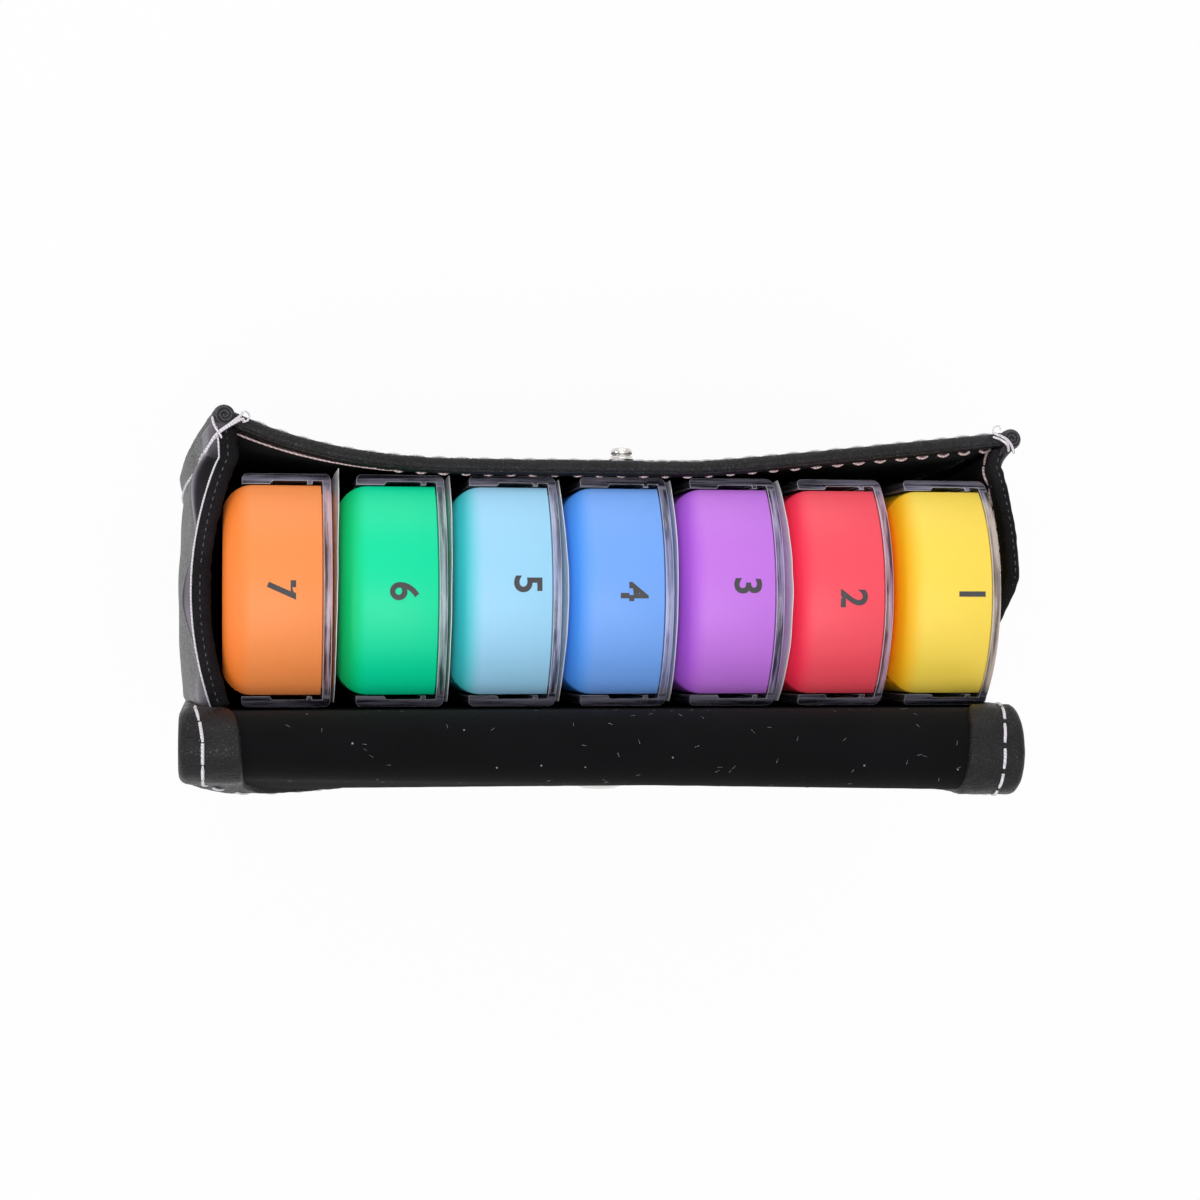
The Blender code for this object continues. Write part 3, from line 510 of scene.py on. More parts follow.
def build_materials():
    """Every finish, by name."""
    grain = grain_group()
    dust = dust_group()
    look = {
        "leather": leather_material(grain, dust, "black pebbled leather", 0.55, 0.32, 0.25),
        "smooth leather": leather_material(grain, dust, "black smooth leather", 0.10, 0.28, 0.1),
        "suede": suede_material(dust),
        "clear": clear_material(),
        "clear end": clear_end_material(),
        "clear edge": clear_edge_material(),
        "film": film_material(),
        "thread": thread_material("white thread", (0.56, 0.52, 0.58, 1), (0.88, 0.85, 0.90, 1)),
        "pink thread": thread_material("pink thread", (0.55, 0.33, 0.36, 1), (0.90, 0.78, 0.76, 1)),
        "grey thread": thread_material("grey thread", (0.03, 0.03, 0.035, 1), (0.10, 0.095, 0.105, 1)),
        "grey lint": thread_material("grey lint", (0.10, 0.10, 0.11, 1), (0.35, 0.34, 0.36, 1)),
        "raw edge": thread_material("raw leather edge", (0.022, 0.02, 0.025, 1), (0.07, 0.065, 0.075, 1)),
        "pouch edge": leather_material(grain, dust, "black napped leather", 0.9, 0.6, 0.1),
        "nickel": nickel_material(dust),
        "ink": ink_material(),
    }
    for number, tones in TRAY_COLOURS.items():
        body, floor_shade = (linear(*tone) for tone in tones)
        floor_x = (number - 4) * BOX_PITCH + FLOOR_X
        look[f"tray_{number}"] = plastic_material(f"tray plastic {number}", body, floor_shade, floor_x)
    return look


# Meshes

def new_piece(name, mesh, materials, sharp=35):
    """An object for a finished mesh, smooth but for edges sharper than the angle."""
    for material in materials:
        mesh.materials.append(material)
    mesh.shade_smooth()
    mesh.set_sharp_from_angle(angle=math.radians(sharp))
    piece = bpy.data.objects.new(name, mesh)
    bpy.context.scene.collection.objects.link(piece)
    return piece


def mesh_from(bm, name):
    """Close a bmesh into a mesh with its faces pointing out."""
    bmesh.ops.recalc_face_normals(bm, faces=bm.faces)
    mesh = bpy.data.meshes.new(name)
    bm.to_mesh(mesh)
    bm.free()
    return mesh


def prism(outline, low, high, plane):
    """A bmesh of an outline in the YZ or XY plane, from low to high across it."""
    spots = {"YZ": lambda a, b: (low, a, b), "XY": lambda a, b: (a, b, low)}
    across = {"YZ": Vector((1, 0, 0)), "XY": Vector((0, 0, 1))}
    bm = bmesh.new()
    face = bm.faces.new([bm.verts.new(spots[plane](a, b)) for a, b in outline])
    grown = bmesh.ops.extrude_face_region(bm, geom=[face])
    moved = [item for item in grown["geom"] if isinstance(item, bmesh.types.BMVert)]
    bmesh.ops.translate(bm, verts=moved, vec=across[plane] * (high - low))
    bmesh.ops.recalc_face_normals(bm, faces=bm.faces)
    return bm


def block(low, high):
    """A bmesh box between two corners."""
    bm = bmesh.new()
    bmesh.ops.create_cube(bm, size=1.0)
    for vert in bm.verts:
        vert.co = [blend(a, b, c + 0.5) for a, b, c in zip(low, high, vert.co)]
    return bm


def carved(name, body, cuts):
    """A bmesh joined with or cut by others: cuts is a list of (bmesh, operation)."""
    made = [bpy.data.objects.new(name, mesh_from(body, name))]
    for bm, operation in cuts:
        other = bpy.data.objects.new(f"{name}_cut", mesh_from(bm, f"{name}_cut"))
        modifier = made[0].modifiers.new("Cut", "BOOLEAN")
        modifier.operation = operation
        modifier.solver = "EXACT"
        modifier.object = other
        made.append(other)
    for obj in made:
        bpy.context.scene.collection.objects.link(obj)
    depsgraph = bpy.context.evaluated_depsgraph_get()
    mesh = bpy.data.meshes.new_from_object(made[0].evaluated_get(depsgraph))
    for obj in made:
        bpy.data.objects.remove(obj)
    return mesh


def softened(mesh, width, segments, angle=32, slot=-1):
    """Round the edges of a mesh that are sharper than the angle, with a finish of their own."""
    bm = bmesh.new()
    bm.from_mesh(mesh)
    bmesh.ops.remove_doubles(bm, verts=bm.verts, dist=MERGE)
    bmesh.ops.dissolve_limit(bm, angle_limit=math.radians(0.5), verts=bm.verts, edges=bm.edges)
    edges = [
        edge for edge in bm.edges
        if edge.is_manifold and edge.calc_face_angle(0) > math.radians(angle)
    ]
    bmesh.ops.bevel(
        bm, geom=edges, offset=width, segments=segments, profile=0.5, affect="EDGES",
        clamp_overlap=True, material=slot,
    )
    bm.to_mesh(mesh)
    bm.free()
    return mesh


def grid_faces(rows, columns, first, flipped=False, wrap=False):
    """Quads of a grid of points that start at index first; wrap joins the columns' ends."""
    faces = []
    for row in range(rows - 1):
        for column in range(columns if wrap else columns - 1):
            after = (column + 1) % columns
            near = first + row * columns
            far = near + columns
            quad = (near + column, near + after, far + after, far + column)
            faces.append(quad[::-1] if flipped else quad)
    return faces


def slab(surface, across, along, depths, name):
    """A closed bent sheet: surface(u, v, depth) at the two depths, rounded round its border."""
    outer = []
    inner = []
    low, high = depths
    for v in along:
        for u in across:
            outer.append(surface(u, v, low))
            inner.append(surface(u, v, high))
    columns = len(across)
    rows = len(along)
    faces = grid_faces(rows, columns, 0)
    faces += grid_faces(rows, columns, rows * columns, flipped=True)
    ring = [column for column in range(columns)]
    ring += [row * columns + columns - 1 for row in range(1, rows)]
    ring += [(rows - 1) * columns + column for column in range(columns - 2, -1, -1)]
    ring += [row * columns for row in range(rows - 2, 0, -1)]
    shift = rows * columns
    for near, far in zip(ring, ring[1:] + ring[:1]):
        faces.append((far, near, near + shift, far + shift))
    mesh = bpy.data.meshes.new(name)
    mesh.from_pydata(outer + inner, [], faces)
    bm = bmesh.new()
    bm.from_mesh(mesh)
    bmesh.ops.recalc_face_normals(bm, faces=bm.faces)
    bm.to_mesh(mesh)
    bm.free()
    return mesh


def tube_mesh(name, rings):
    """A closed skin over rings of points, with a fan at each end."""
    bm = bmesh.new()
    rows = [[bm.verts.new(point) for point in ring] for ring in rings]
    count = len(rows[0])
    for near, far in zip(rows, rows[1:]):
        for index in range(count):
            after = (index + 1) % count
            bm.faces.new((near[index], near[after], far[after], far[index]))
    for row in (rows[0], rows[-1]):
        bm.faces.new(row)
    return mesh_from(bm, name)


def smooth_path(points, steps):
    """A smooth path through points, with this many steps between each two."""
    spots = [Vector(point) for point in points]
    spots = [2 * spots[0] - spots[1]] + spots + [2 * spots[-1] - spots[-2]]
    path = []
    for before, here, after, beyond in zip(spots, spots[1:], spots[2:], spots[3:]):
        for step in range(steps):
            t = step / steps
            path.append((
                2 * here + (after - before) * t
                + (2 * before - 5 * here + 4 * after - beyond) * t ** 2
                + (3 * here - before - 3 * after + beyond) * t ** 3
            ) / 2)
    return path + [spots[-2]]


def strand_mesh(name, path, half_width, half_height, rough=0.0, around=12):
    """A strand with an oval section along a path, narrowed at both ends."""
    rings = []
    last = len(path) - 1
    for index, spot in enumerate(path):
        ahead = (path[min(index + 1, last)] - path[max(index - 1, 0)]).normalized()
        side = ahead.cross(Vector((0, 0, 1))).normalized()
        top = side.cross(ahead)
        full = 0.55 if index in (0, last) else 1.0
        ring = []
        for step in range(around):
            turn = 2 * math.pi * step / around
            out = side * (half_width * math.cos(turn)) + top * (half_height * math.sin(turn))
            ring.append(spot + out * (full * (1 + rough * noise.noise((spot + out) * 520))))
        rings.append(ring)
    return tube_mesh(name, rings)


# Pouch shapes, as in the frame

def lean(rise):
    """How far a wall has drawn in at this share of its height."""
    return rise ** LEAN_POWER


def flare(mouth_x):
    """How far the front of the mouth stands out at this place across it."""
    start, most, power = FLARES[1 if mouth_x > 0 else -1]
    reach = max(abs(mouth_x) - start, 0.0) / (ROW_HALF - start)
    return most * reach ** power


def welt_centre(side, rise):
    """The middle of the rolled seam at a front corner, as (x, y)."""
    mouth_x = CORNERS[side] - WALL / 2
    mouth_y = MOUTH_FRONT + flare(side * mouth_x) - WALL / 2
    share = lean(rise)
    x = side * blend(FOOT_HALF - WALL / 2, mouth_x, share)
    return x, -blend(FOOT_FRONT - WALL / 2, mouth_y, share)


def front_outer(across, rise):
    """The outer face of the front, across from its -X edge to its +X edge."""
    edges = [welt_centre(side, rise)[0] - side * WELT_CLEAR for side in (-1, 1)]
    mouth = [welt_centre(side, 1)[0] - side * WELT_CLEAR for side in (-1, 1)]
    mouth_y = MOUTH_FRONT + flare(blend(*mouth, across))
    y = -blend(FOOT_FRONT, mouth_y, lean(rise))
    return Vector((blend(*edges, across), y, blend(WALL_FOOT, RIM_Z, rise)))


def side_lip(side, y):
    """Where the side's outer face crosses the mouth: in from its corner, then out in a bulge."""
    front = -PINCH_FRONT
    if y < front:
        share = (front - y) / (front - welt_centre(side, 1)[1])
        return blend(PINCHES[side], CORNERS[side], share ** CORNER_POWER)
    share = min((y - front) / (BACK_OUTER - front), 1.0)
    return PINCHES[side] + BULGES[side] * math.sin(math.pi * share) ** BULGE_POWER


def side_outer(side, along, rise):
    """The outer face of a gusset, along from its front edge to its back edge."""
    mouth_y = blend(welt_centre(side, 1)[1] + WELT_CLEAR, BACK_INNER - SEAM_GAP, along)
    y = blend(welt_centre(side, rise)[1] + WELT_CLEAR, BACK_INNER - SEAM_GAP, along)
    x = side * blend(FOOT_HALF, side_lip(side, mouth_y), lean(rise))
    return Vector((x, y, blend(WALL_FOOT, RIM_Z, rise)))


# Daily boxes

def bow_drop(half_width, radius):
    """How far a bowed end falls back from its crown at this half width."""
    return radius - math.sqrt(radius ** 2 - half_width ** 2)


def bowed_outline(half_width, low, high, radius, bowed_low=True, bowed_high=True):
    """A box seen on its lid, as (y, z): straight sides and ends that are bowed or straight."""
    sweep = math.asin(half_width / radius)
    down = -math.pi / 2
    up = math.pi / 2
    if bowed_low:
        bottom = arc((0, low + radius), radius, down - sweep, down + sweep, BOW_STEPS)
    else:
        bottom = [(-half_width, low), (half_width, low)]
    if bowed_high:
        top = arc((0, high - radius), radius, up - sweep, up + sweep, BOW_STEPS)
    else:
        top = [(half_width, high), (-half_width, high)]
    return bottom + top


def round_floor(bm, floor_x, radius):
    """Round the edges round the face at floor_x."""
    edges = [
        edge for edge in bm.edges
        if all(abs(vert.co.x - floor_x) < MERGE for vert in edge.verts)
    ]
    bmesh.ops.bevel(
        bm, geom=edges, offset=radius, segments=ROUND_STEPS, profile=0.5, affect="EDGES"
    )


def tray_mesh():
    """The moulded tray of box 4: rounded floor, bowed ends, ears and four open cells."""
    body = prism(bowed_outline(TRAY_HALF, BOX_SEAT, CROWN_Z, BOW_RADIUS), RIM_X, FLOOR_X, "YZ")
    round_floor(body, FLOOR_X, FLOOR_ROUND)
    corner = bow_drop(TRAY_HALF, BOW_RADIUS)
    ear_half = TRAY_HALF + EAR_REACH
    ears = block(
        (RIM_X, -ear_half, BOX_SEAT + corner), (RIM_X + EAR_THICK, ear_half, CROWN_Z - corner)
    )
    inner_half = TRAY_HALF - TRAY_WALL
    inner_radius = BOW_RADIUS - TRAY_WALL
    inner_floor = FLOOR_X - TRAY_WALL
    cell = (BOX_LENGTH - 2 * TRAY_WALL - (CELL_COUNT - 1) * DIVIDER) / CELL_COUNT
    cuts = [(ears, "UNION")]
    for index in range(CELL_COUNT):
        low = BOX_SEAT + TRAY_WALL + index * (cell + DIVIDER)
        outline = bowed_outline(
            inner_half, low, low + cell, inner_radius,
            bowed_low=index == 0, bowed_high=index == CELL_COUNT - 1,
        )
        pocket = prism(outline, RIM_X - CUT_OVERRUN, inner_floor, "YZ")
        round_floor(pocket, inner_floor, FLOOR_ROUND - TRAY_WALL)
        cuts.append((pocket, "DIFFERENCE"))
    inset = TRAY_WALL + bow_drop(inner_half, inner_radius)
    notch = block(
        (RIM_X - CUT_OVERRUN, -inner_half, BOX_SEAT + inset),
        (RIM_X + DIVIDER_DROP, inner_half, CROWN_Z - inset),
    )
    cuts.append((notch, "DIFFERENCE"))
    return softened(carved("tray", body, cuts), EDGE_SOFT, 2)


def cover_section():
    """The clear cover cut across, as (x, y): plate, skirts, ribs under the ears and end hooks."""
    inner = COVER_HALF - SKIRT
    pad = TRAY_HALF + SLIDE_GAP
    plate_in = LID_X + PLATE
    rib_top = RIM_X + EAR_THICK + SLIDE_GAP
    rib_foot = rib_top + RIB_THICK
    free = LID_X + SKIRT_DEPTH
    hook_top = free - HOOK_LENGTH
    inside = [
        (plate_in, inner), (rib_top, inner), (rib_top, pad), (rib_foot, pad), (rib_foot, inner),
        (hook_top - HOOK_CHAMFER, inner), (hook_top, pad), (free, pad),
    ]
    outside = arc(
        (free - SKIRT_ROUND, COVER_HALF - SKIRT_ROUND), SKIRT_ROUND, 0, math.pi / 2, 6
    )
    outside += arc(
        (LID_X + SKIRT_ROUND, COVER_HALF - SKIRT_ROUND), SKIRT_ROUND, math.pi / 2, math.pi, 6
    )
    half = inside + outside
    return half + [(x, -y) for x, y in reversed(half)]


def cover_mesh():
    """The clear cover of box 4: one section along the tray, trimmed to the bowed ends."""
    body = prism(cover_section(), BOX_SEAT, CROWN_Z, "XY")
    outline = bowed_outline(COVER_HALF, BOX_SEAT, CROWN_Z, BOW_RADIUS)
    trim = prism(outline, LID_X - CUT_OVERRUN, FLOOR_X + CUT_OVERRUN, "YZ")
    mesh = carved("cover", body, [(trim, "INTERSECT")])
    for face in mesh.polygons:
        face.material_index = COVER_END_SLOT if abs(face.normal.z) > 0.5 else 0
    return softened(mesh, COVER_SOFT, 2, slot=COVER_EDGE_SLOT)


COVER_SOFT = 0.32 * MM
COVER_END_SLOT = 1
COVER_EDGE_SLOT = 2


NUMERAL_SIZE = 7.4 * MM
NUMERAL_BOLD = 0.16 * MM
INK = 0.05 * MM
NUMERAL_PLACES = {      # from the middle of the box's end
    1: (-4.1 * MM, 0.5 * MM), 2: (-2.0 * MM, 1.4 * MM), 3: (-2.7 * MM, -0.9 * MM),
    4: (-2.2 * MM, 0.3 * MM), 5: (-3.5 * MM, -1.1 * MM), 6: (-1.7 * MM, 0.3 * MM),
    7: (-0.5 * MM, 0.0),
}


def bow_height(y):
    """Height of a tray's upper bowed end at this place across it."""
    return CROWN_Z - bow_drop(abs(y), BOW_RADIUS)


def numeral_mesh(number):
    """A printed numeral on the upper end of its tray, with its head towards -X."""
    letters = bpy.data.curves.new("numeral", "FONT")
    letters.body = str(number)
    letters.size = NUMERAL_SIZE
    letters.offset = NUMERAL_BOLD
    letters.extrude = INK
    letters.resolution_u = 8
    letters.align_x = "CENTER"
    letters.align_y = "CENTER"
    flat = bpy.data.objects.new("numeral", letters)
    bpy.context.scene.collection.objects.link(flat)
    depsgraph = bpy.context.evaluated_depsgraph_get()
    mesh = bpy.data.meshes.new_from_object(flat.evaluated_get(depsgraph))
    bpy.data.objects.remove(flat)
    middle_x, middle_y = NUMERAL_PLACES[number]
    centre = (number - 4) * BOX_PITCH + middle_x
    for vert in mesh.vertices:
        y = middle_y + vert.co.x
        vert.co = (centre - vert.co.y, y, bow_height(y) + vert.co.z)
    return mesh


def build_boxes(look):
    """Seven trays with their covers and numerals, and the films on five covers."""
    tray = tray_mesh()
    cover = cover_mesh()
    for number in BOX_NUMBERS:
        shift = Matrix.Translation(((number - 4) * BOX_PITCH, 0, 0))
        tray_shape = tray.copy()
        tray_shape.transform(shift)
        shell = new_piece(f"box_{number}_tray", tray_shape, [look[f"tray_{number}"]])
        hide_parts(f"tray_{number}")
        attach(shell, f"box_{number}")
        digit = new_piece(f"box_{number}_numeral", numeral_mesh(number), [look["ink"]])
        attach(digit, f"box_{number}")
        cover_shape = cover.copy()
        cover_shape.transform(shift)
        finishes = [look["clear"], look["clear end"], look["clear edge"]]
        lid = new_piece(f"box_{number}_cover", cover_shape, finishes)
        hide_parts(f"cover_{number}")
        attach(lid, f"lid_{number}")
        if number in FILMED_BOXES:
            film = new_piece(f"box_{number}_film", film_mesh(number), [look["film"]])
            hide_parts(f"lid_film_{number}")
            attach(film, f"lid_{number}")


def film_mesh(number):
    """The thin film that clings to a cover: wavy, loose along its upper end, with a pointed corner."""
    centre = (number - 4) * BOX_PITCH
    low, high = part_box(f"lid_film_{number}")
    middle = (low.x + high.x) / 2
    curl, point = FILM_SHAPES[number]

    def spot(u, v, depth):
        top = ramp(v, 0.93, 1.0)
        corner = point * math.exp(-u / 0.05) * top
        y = blend(low.y, high.y, u) - corner
        drop = bow_drop(min(abs(y), COVER_HALF), BOW_RADIUS)
        z = blend(BOX_SEAT + drop + FILM_SHORT, CROWN_Z - drop + FILM_PROUD, v) + corner * 0.7
        wave = FILM_WAVE * noise.noise(Vector((u * 5, v * 4, number * 7.3)))
        crinkle = 0.12 * noise.noise(Vector((u * 9, v * 20, number * 3.1)))
        lift = curl(u) * top * (1 + crinkle)
        x = min(middle, centre + LID_X - FILM) + wave * ramp(v, 0.0, 0.3) - lift
        return Vector((x - depth, y, z))

    close = [share for share in shares(160) if share > 0.9]
    along = [share for share in shares(40) if share <= 0.9] + close
    return slab(spot, shares(72), along, (0.0, FILM), f"film_{number}")


FILM_SHORT = 1.0 * MM
FILM_PROUD = 0.5 * MM
FILM_WAVE = 0.12 * MM
FILM_SHAPES = {           # how far the film stands off along its upper end, and its pointed corner
    3: (lambda u: MM * (0.45 + 0.75 * math.sin(math.pi * u) ** 0.8), 0.6 * MM),
    4: (lambda u: MM * (0.3 + 0.3 * (1 - u) ** 2), 0.3 * MM),
    5: (lambda u: MM * (0.25 + 0.65 * math.sin(math.pi * u) ** 2), 0.2 * MM),
    6: (lambda u: MM * (0.25 + 0.5 * (1 - u) ** 2), 0.9 * MM),
    7: (lambda u: MM * (0.3 + 0.8 * (1 - u) ** 1.3), 2.0 * MM),
}


# Soft pouch

def eased(share, edge):
    """How full a panel's thickness is this close to its border: rounded down to a thin edge."""
    near = min(share, 1 - share) / edge
    if near >= 1:
        return 1.0
    return max(math.sqrt(1 - (1 - near) ** 2), 0.1)


def stitched_panel(surface, outward, slack, soft):
    """surface(u, v, depth) of a panel whose face is surface(u, v), with slack standing out."""
    step = 0.002

    def spot(u, v, depth):
        here = surface(u, v)
        across = surface(min(u + step, 1), v) - surface(max(u - step, 0), v)
        along = surface(u, min(v + step, 1)) - surface(u, max(v - step, 0))
        normal = across.cross(along).normalized()
        if normal.dot(outward) < 0:
            normal.negate()
        middle = WALL / 2
        full = min(eased(u, soft[0]), eased(v, soft[1]))
        inside = middle + (depth - middle) * full
        return here + normal * (slack(u, v) - inside)

    return spot


def crease(u, v, seed, size):
    """Fine, uneven creasing of leather, between -1 and 1."""
    place = Vector((u * size, v * size, seed))
    return noise.fractal(place, 0.9, 2.1, 4)


def front_face(u, v):
    """The front's outer face up to the underside of its hem."""
    under_hem = (RIM_Z - HEM_HEIGHT * 0.5 - WALL_FOOT) / (RIM_Z - WALL_FOOT)
    return front_outer(u, v * under_hem)


def front_slack(u, v):
    """Folds of the front: a shallow belly, drags from the corners and fine creases."""
    belly = 1.3 * MM * math.sin(math.pi * u) ** 0.7 * math.sin(math.pi * v) ** 1.5
    drag = 0.0
    for side in (0, 1):
        reach = abs(u - side)
        fold = math.sin(9.0 * math.pi * (v * 0.6 + reach * 1.9))
        drag += 0.35 * MM * fold * math.exp(-reach * 9) * ramp(v, 0.0, 0.3) * ramp(1 - v, 0.0, 0.15)
    return belly + drag + 0.12 * MM * crease(u * 3, v * 2, 3.0, 3.5)


LIP_PULLS = {1: 0.0, -1: 2.6 * MM}
LIP_SINKS = {1: 0.0, -1: 6.5 * MM}
FOLD_SHARES = {1: 1.0, -1: 0.2}
LIP_HALVES = {1: 1.8 * MM, -1: 1.4 * MM}


def soft_side(side, along, rise):
    """The outer face of a gusset as it hangs: behind box 1 its rim sags and draws in."""
    spot = side_outer(side, along, rise)
    sag = ramp(spot.y, -5 * MM, 9 * MM)
    spot.x -= side * LIP_PULLS[side] * sag * rise ** 6
    spot.z -= LIP_SINKS[side] * sag * rise
    return spot


def bump_at(value, middle, width):
    """A soft bump of height 1 round a middle."""
    return math.exp(-((value - middle) / width) ** 2)


def gusset_face(side):
    """A gusset's outer face, carried on over the roll in front of it."""
    return lambda u, v: soft_side(side, blend(-0.035, 1.0, u), v)


def gusset_slack(side):
    """How far a gusset's leather stands out: wrapped round the roll, a shoulder, shelves and a belly."""
    def slack(u, v):
        below = 1 - v
        wrap = 1.0 * MM * bump_at(u, 0.0, 0.07) * ramp(below, 0.0, 0.02)
        shoulder = 3.4 * MM * bump_at(u, 0.2, 0.14) * ramp(below, 0.0, 0.045) * ramp(v, 0.7, 0.95)
        shelf = 2.0 * MM * bump_at(u, 0.62, 0.14) * ramp(below, 0.0, 0.03) * ramp(v, 0.86, 0.97)
        heel = 1.6 * MM * ramp(u, 0.84, 0.97) * ramp(below, 0.0, 0.06) * ramp(v, 0.6, 0.93)
        belly = 1.3 * MM * math.sin(math.pi * v) ** 1.3 * math.sin(math.pi * (0.06 + 0.88 * u)) ** 0.5
        drag = 0.1 * MM * math.sin(7 * math.pi * (u + 0.35 * v)) * math.sin(math.pi * v) ** 2
        folds = FOLD_SHARES[side] * (shoulder + shelf + heel)
        return wrap + folds + belly + drag + 0.06 * MM * crease(u, v * 2.4, 5.0 + side, 4.0)
    return slack


def gusset_scuff(side):
    """How much painted highlight a gusset's leather gets, from 0 to 1: pale along its folds, where light falls on
    them.
    """
    def scuff(u, v):
        flat = 0.42 * (1 - ramp(u, 0.06, 0.16)) * ramp(v, 0.86, 0.9)
        streak = 0.9 * bump_at(v, 0.957 + 0.03 * ramp(u, 0.3, 0.5), 0.007) * ramp(u, 0.08, 0.14) * (1 - ramp(u, 0.46, 0.54))
        crescent = 0.85 * ramp(v, 0.972, 0.98) * math.sqrt(max(1 - ((u - 0.62) / 0.2) ** 2, 0.0))
        heel = 0.5 * ramp(u, 0.86, 0.95) * ramp(v, 0.84, 0.94)
        patchy = 0.8 + 0.35 * noise.noise(Vector((u * 9, v * 30, 2.0)))
        return FOLD_SHARES[side] * min(flat + streak + crescent + heel, 1.0) * patchy
    return scuff


def lip_path(side, inward, lift):
    """A line along a gusset's rim, this far in from its outer face and above it."""
    path = []
    for share in shares(120):
        spot = soft_side(side, share, 1.0)
        path.append(spot + Vector((-side * inward, 0, lift)))
    return path


def build_lip(side, name, look):
    """A gusset's turned rim: a soft roll, with a row of small stitches and a pale raw edge."""
    half = LIP_HALVES[side]
    roll = strand_mesh(f"{name}_lip", lip_path(side, WALL / 2, -1.1 * MM), half, 1.3 * MM, 0.16, 20)
    parts = [(f"{name}_gusset_rim", roll, look["pouch edge"])]
    seam = row_places(lip_path(side, WALL / 2 - 0.2 * MM, 0.15 * MM), Vector((0, 0, 1)), 1.5 * MM)
    parts.append((f"{name}_gusset_rim_stitches", stitch_mesh("lip seam", seam, 0.75 * MM, 0.11 * MM), look["grey thread"]))
    if side == 1:
        raw = lip_path(side, WALL / 2 - half - 0.1 * MM, -0.5 * MM)
        cord = strand_mesh("raw edge", raw, 0.17 * MM, 0.17 * MM, 0.3)
        parts.append((f"{name}_gusset_raw_edge", cord, look["thread"]))
    for piece_name, mesh, finish in parts:
        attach(new_piece(piece_name, mesh, [finish], sharp=60), "pouch")


def build_front(look):
    """The front's leather and suede, as one soft panel."""
    face = stitched_panel(front_face, Vector((0, -1, 0)), front_slack, (0.012, 0.012))
    across = shares(150, 0.012, 4)
    along = shares(90, 0.012, 4)
    skin = new_piece("front_leather", slab(face, across, along, (0.0, LEATHER), "front"), [look["smooth leather"]])
    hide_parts("front_panel")
    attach(skin, "pouch")
    flat = stitched_panel(front_face, Vector((0, -1, 0)), lambda u, v: 0.0, (0.012, 0.012))
    depths = (LEATHER + SEAM_GAP / 2, WALL)
    suede = new_piece("front_suede", slab(flat, shares(60), shares(30), depths, "suede"), [look["suede"]])
    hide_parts("front_lining")
    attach(suede, "pouch")


def build_gusset(side, name, look):
    """A gusset's leather and suede, with its turned rim."""
    outward = Vector((side, 0, 0))
    face = stitched_panel(gusset_face(side), outward, gusset_slack(side), (0.02, 0.008))
    rows = [1 - (1 - share) ** 1.8 for share in shares(150)]
    mesh = slab(face, shares(110), rows, (0.0, LEATHER), name)
    # The painted highlight on the folds, stored on the leather's outer points; the inner points get none.
    painted_gleam = gusset_scuff(side)
    values = [painted_gleam(u, v) for v in rows for u in shares(110)]
    mesh.attributes.new("scuff", "FLOAT", "POINT").data.foreach_set("value", values + [0.0] * len(values))
    skin = new_piece(f"{name}_gusset_leather", mesh, [look["smooth leather"]])
    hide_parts(f"{name}_gusset")
    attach(skin, "pouch")
    flat = stitched_panel(
        lambda u, v: soft_side(side, u, v), outward, lambda u, v: 0.0, (0.02, 0.012)
    )
    mesh = slab(flat, shares(60), shares(50), (LEATHER + SEAM_GAP / 2, WALL), name)
    suede = new_piece(f"{name}_gusset_suede", mesh, [look["suede"]])
    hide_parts(f"{name}_gusset_lining")
    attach(suede, "pouch")
    build_lip(side, name, look)
    rows = {
        "roll": [face(0.1, v, 0.0) for v in shares(200) if 0.03 < v < 0.95],
        "foot": [face(u, 0.035, 0.0) for u in shares(120) if 0.1 < u < 0.99],
    }
    for place, spots in rows.items():
        stitches(f"{name}_{place}_stitches", row_places(spots, outward), look)
    inner = [flat(u, 0.948, WALL + 0.05 * MM) for u in shares(60)]
    stitches(f"{name}_inner_stitches", row_places(inner, -outward), look, "pink thread")


def hem_line(share):
    """The middle of the hem at this share of its length, a little past the wall's ends, and the way out."""
    share = blend(-0.006, 1.006, share)
    spot = front_outer(share, 1.0)
    ahead = front_outer(share + 0.002, 1.0) - front_outer(share - 0.002, 1.0)
    outward = Vector((ahead.y, -ahead.x, 0)).normalized()
    if outward.y > 0:
        outward.negate()
    return spot - outward * (WALL / 2), outward


def hem_creases(place, turn):
    """Creases across the hem: how much thinner it is here, up to 1."""
    wander = 0.9 * MM * math.sin(2 * turn + 40 * noise.noise(Vector((place * 90, 3.0, 0))))
    ridge = abs(noise.noise(Vector(((place + wander) * 300, 7.0, 0))))
    return max(1 - ridge / 0.12, 0.0)


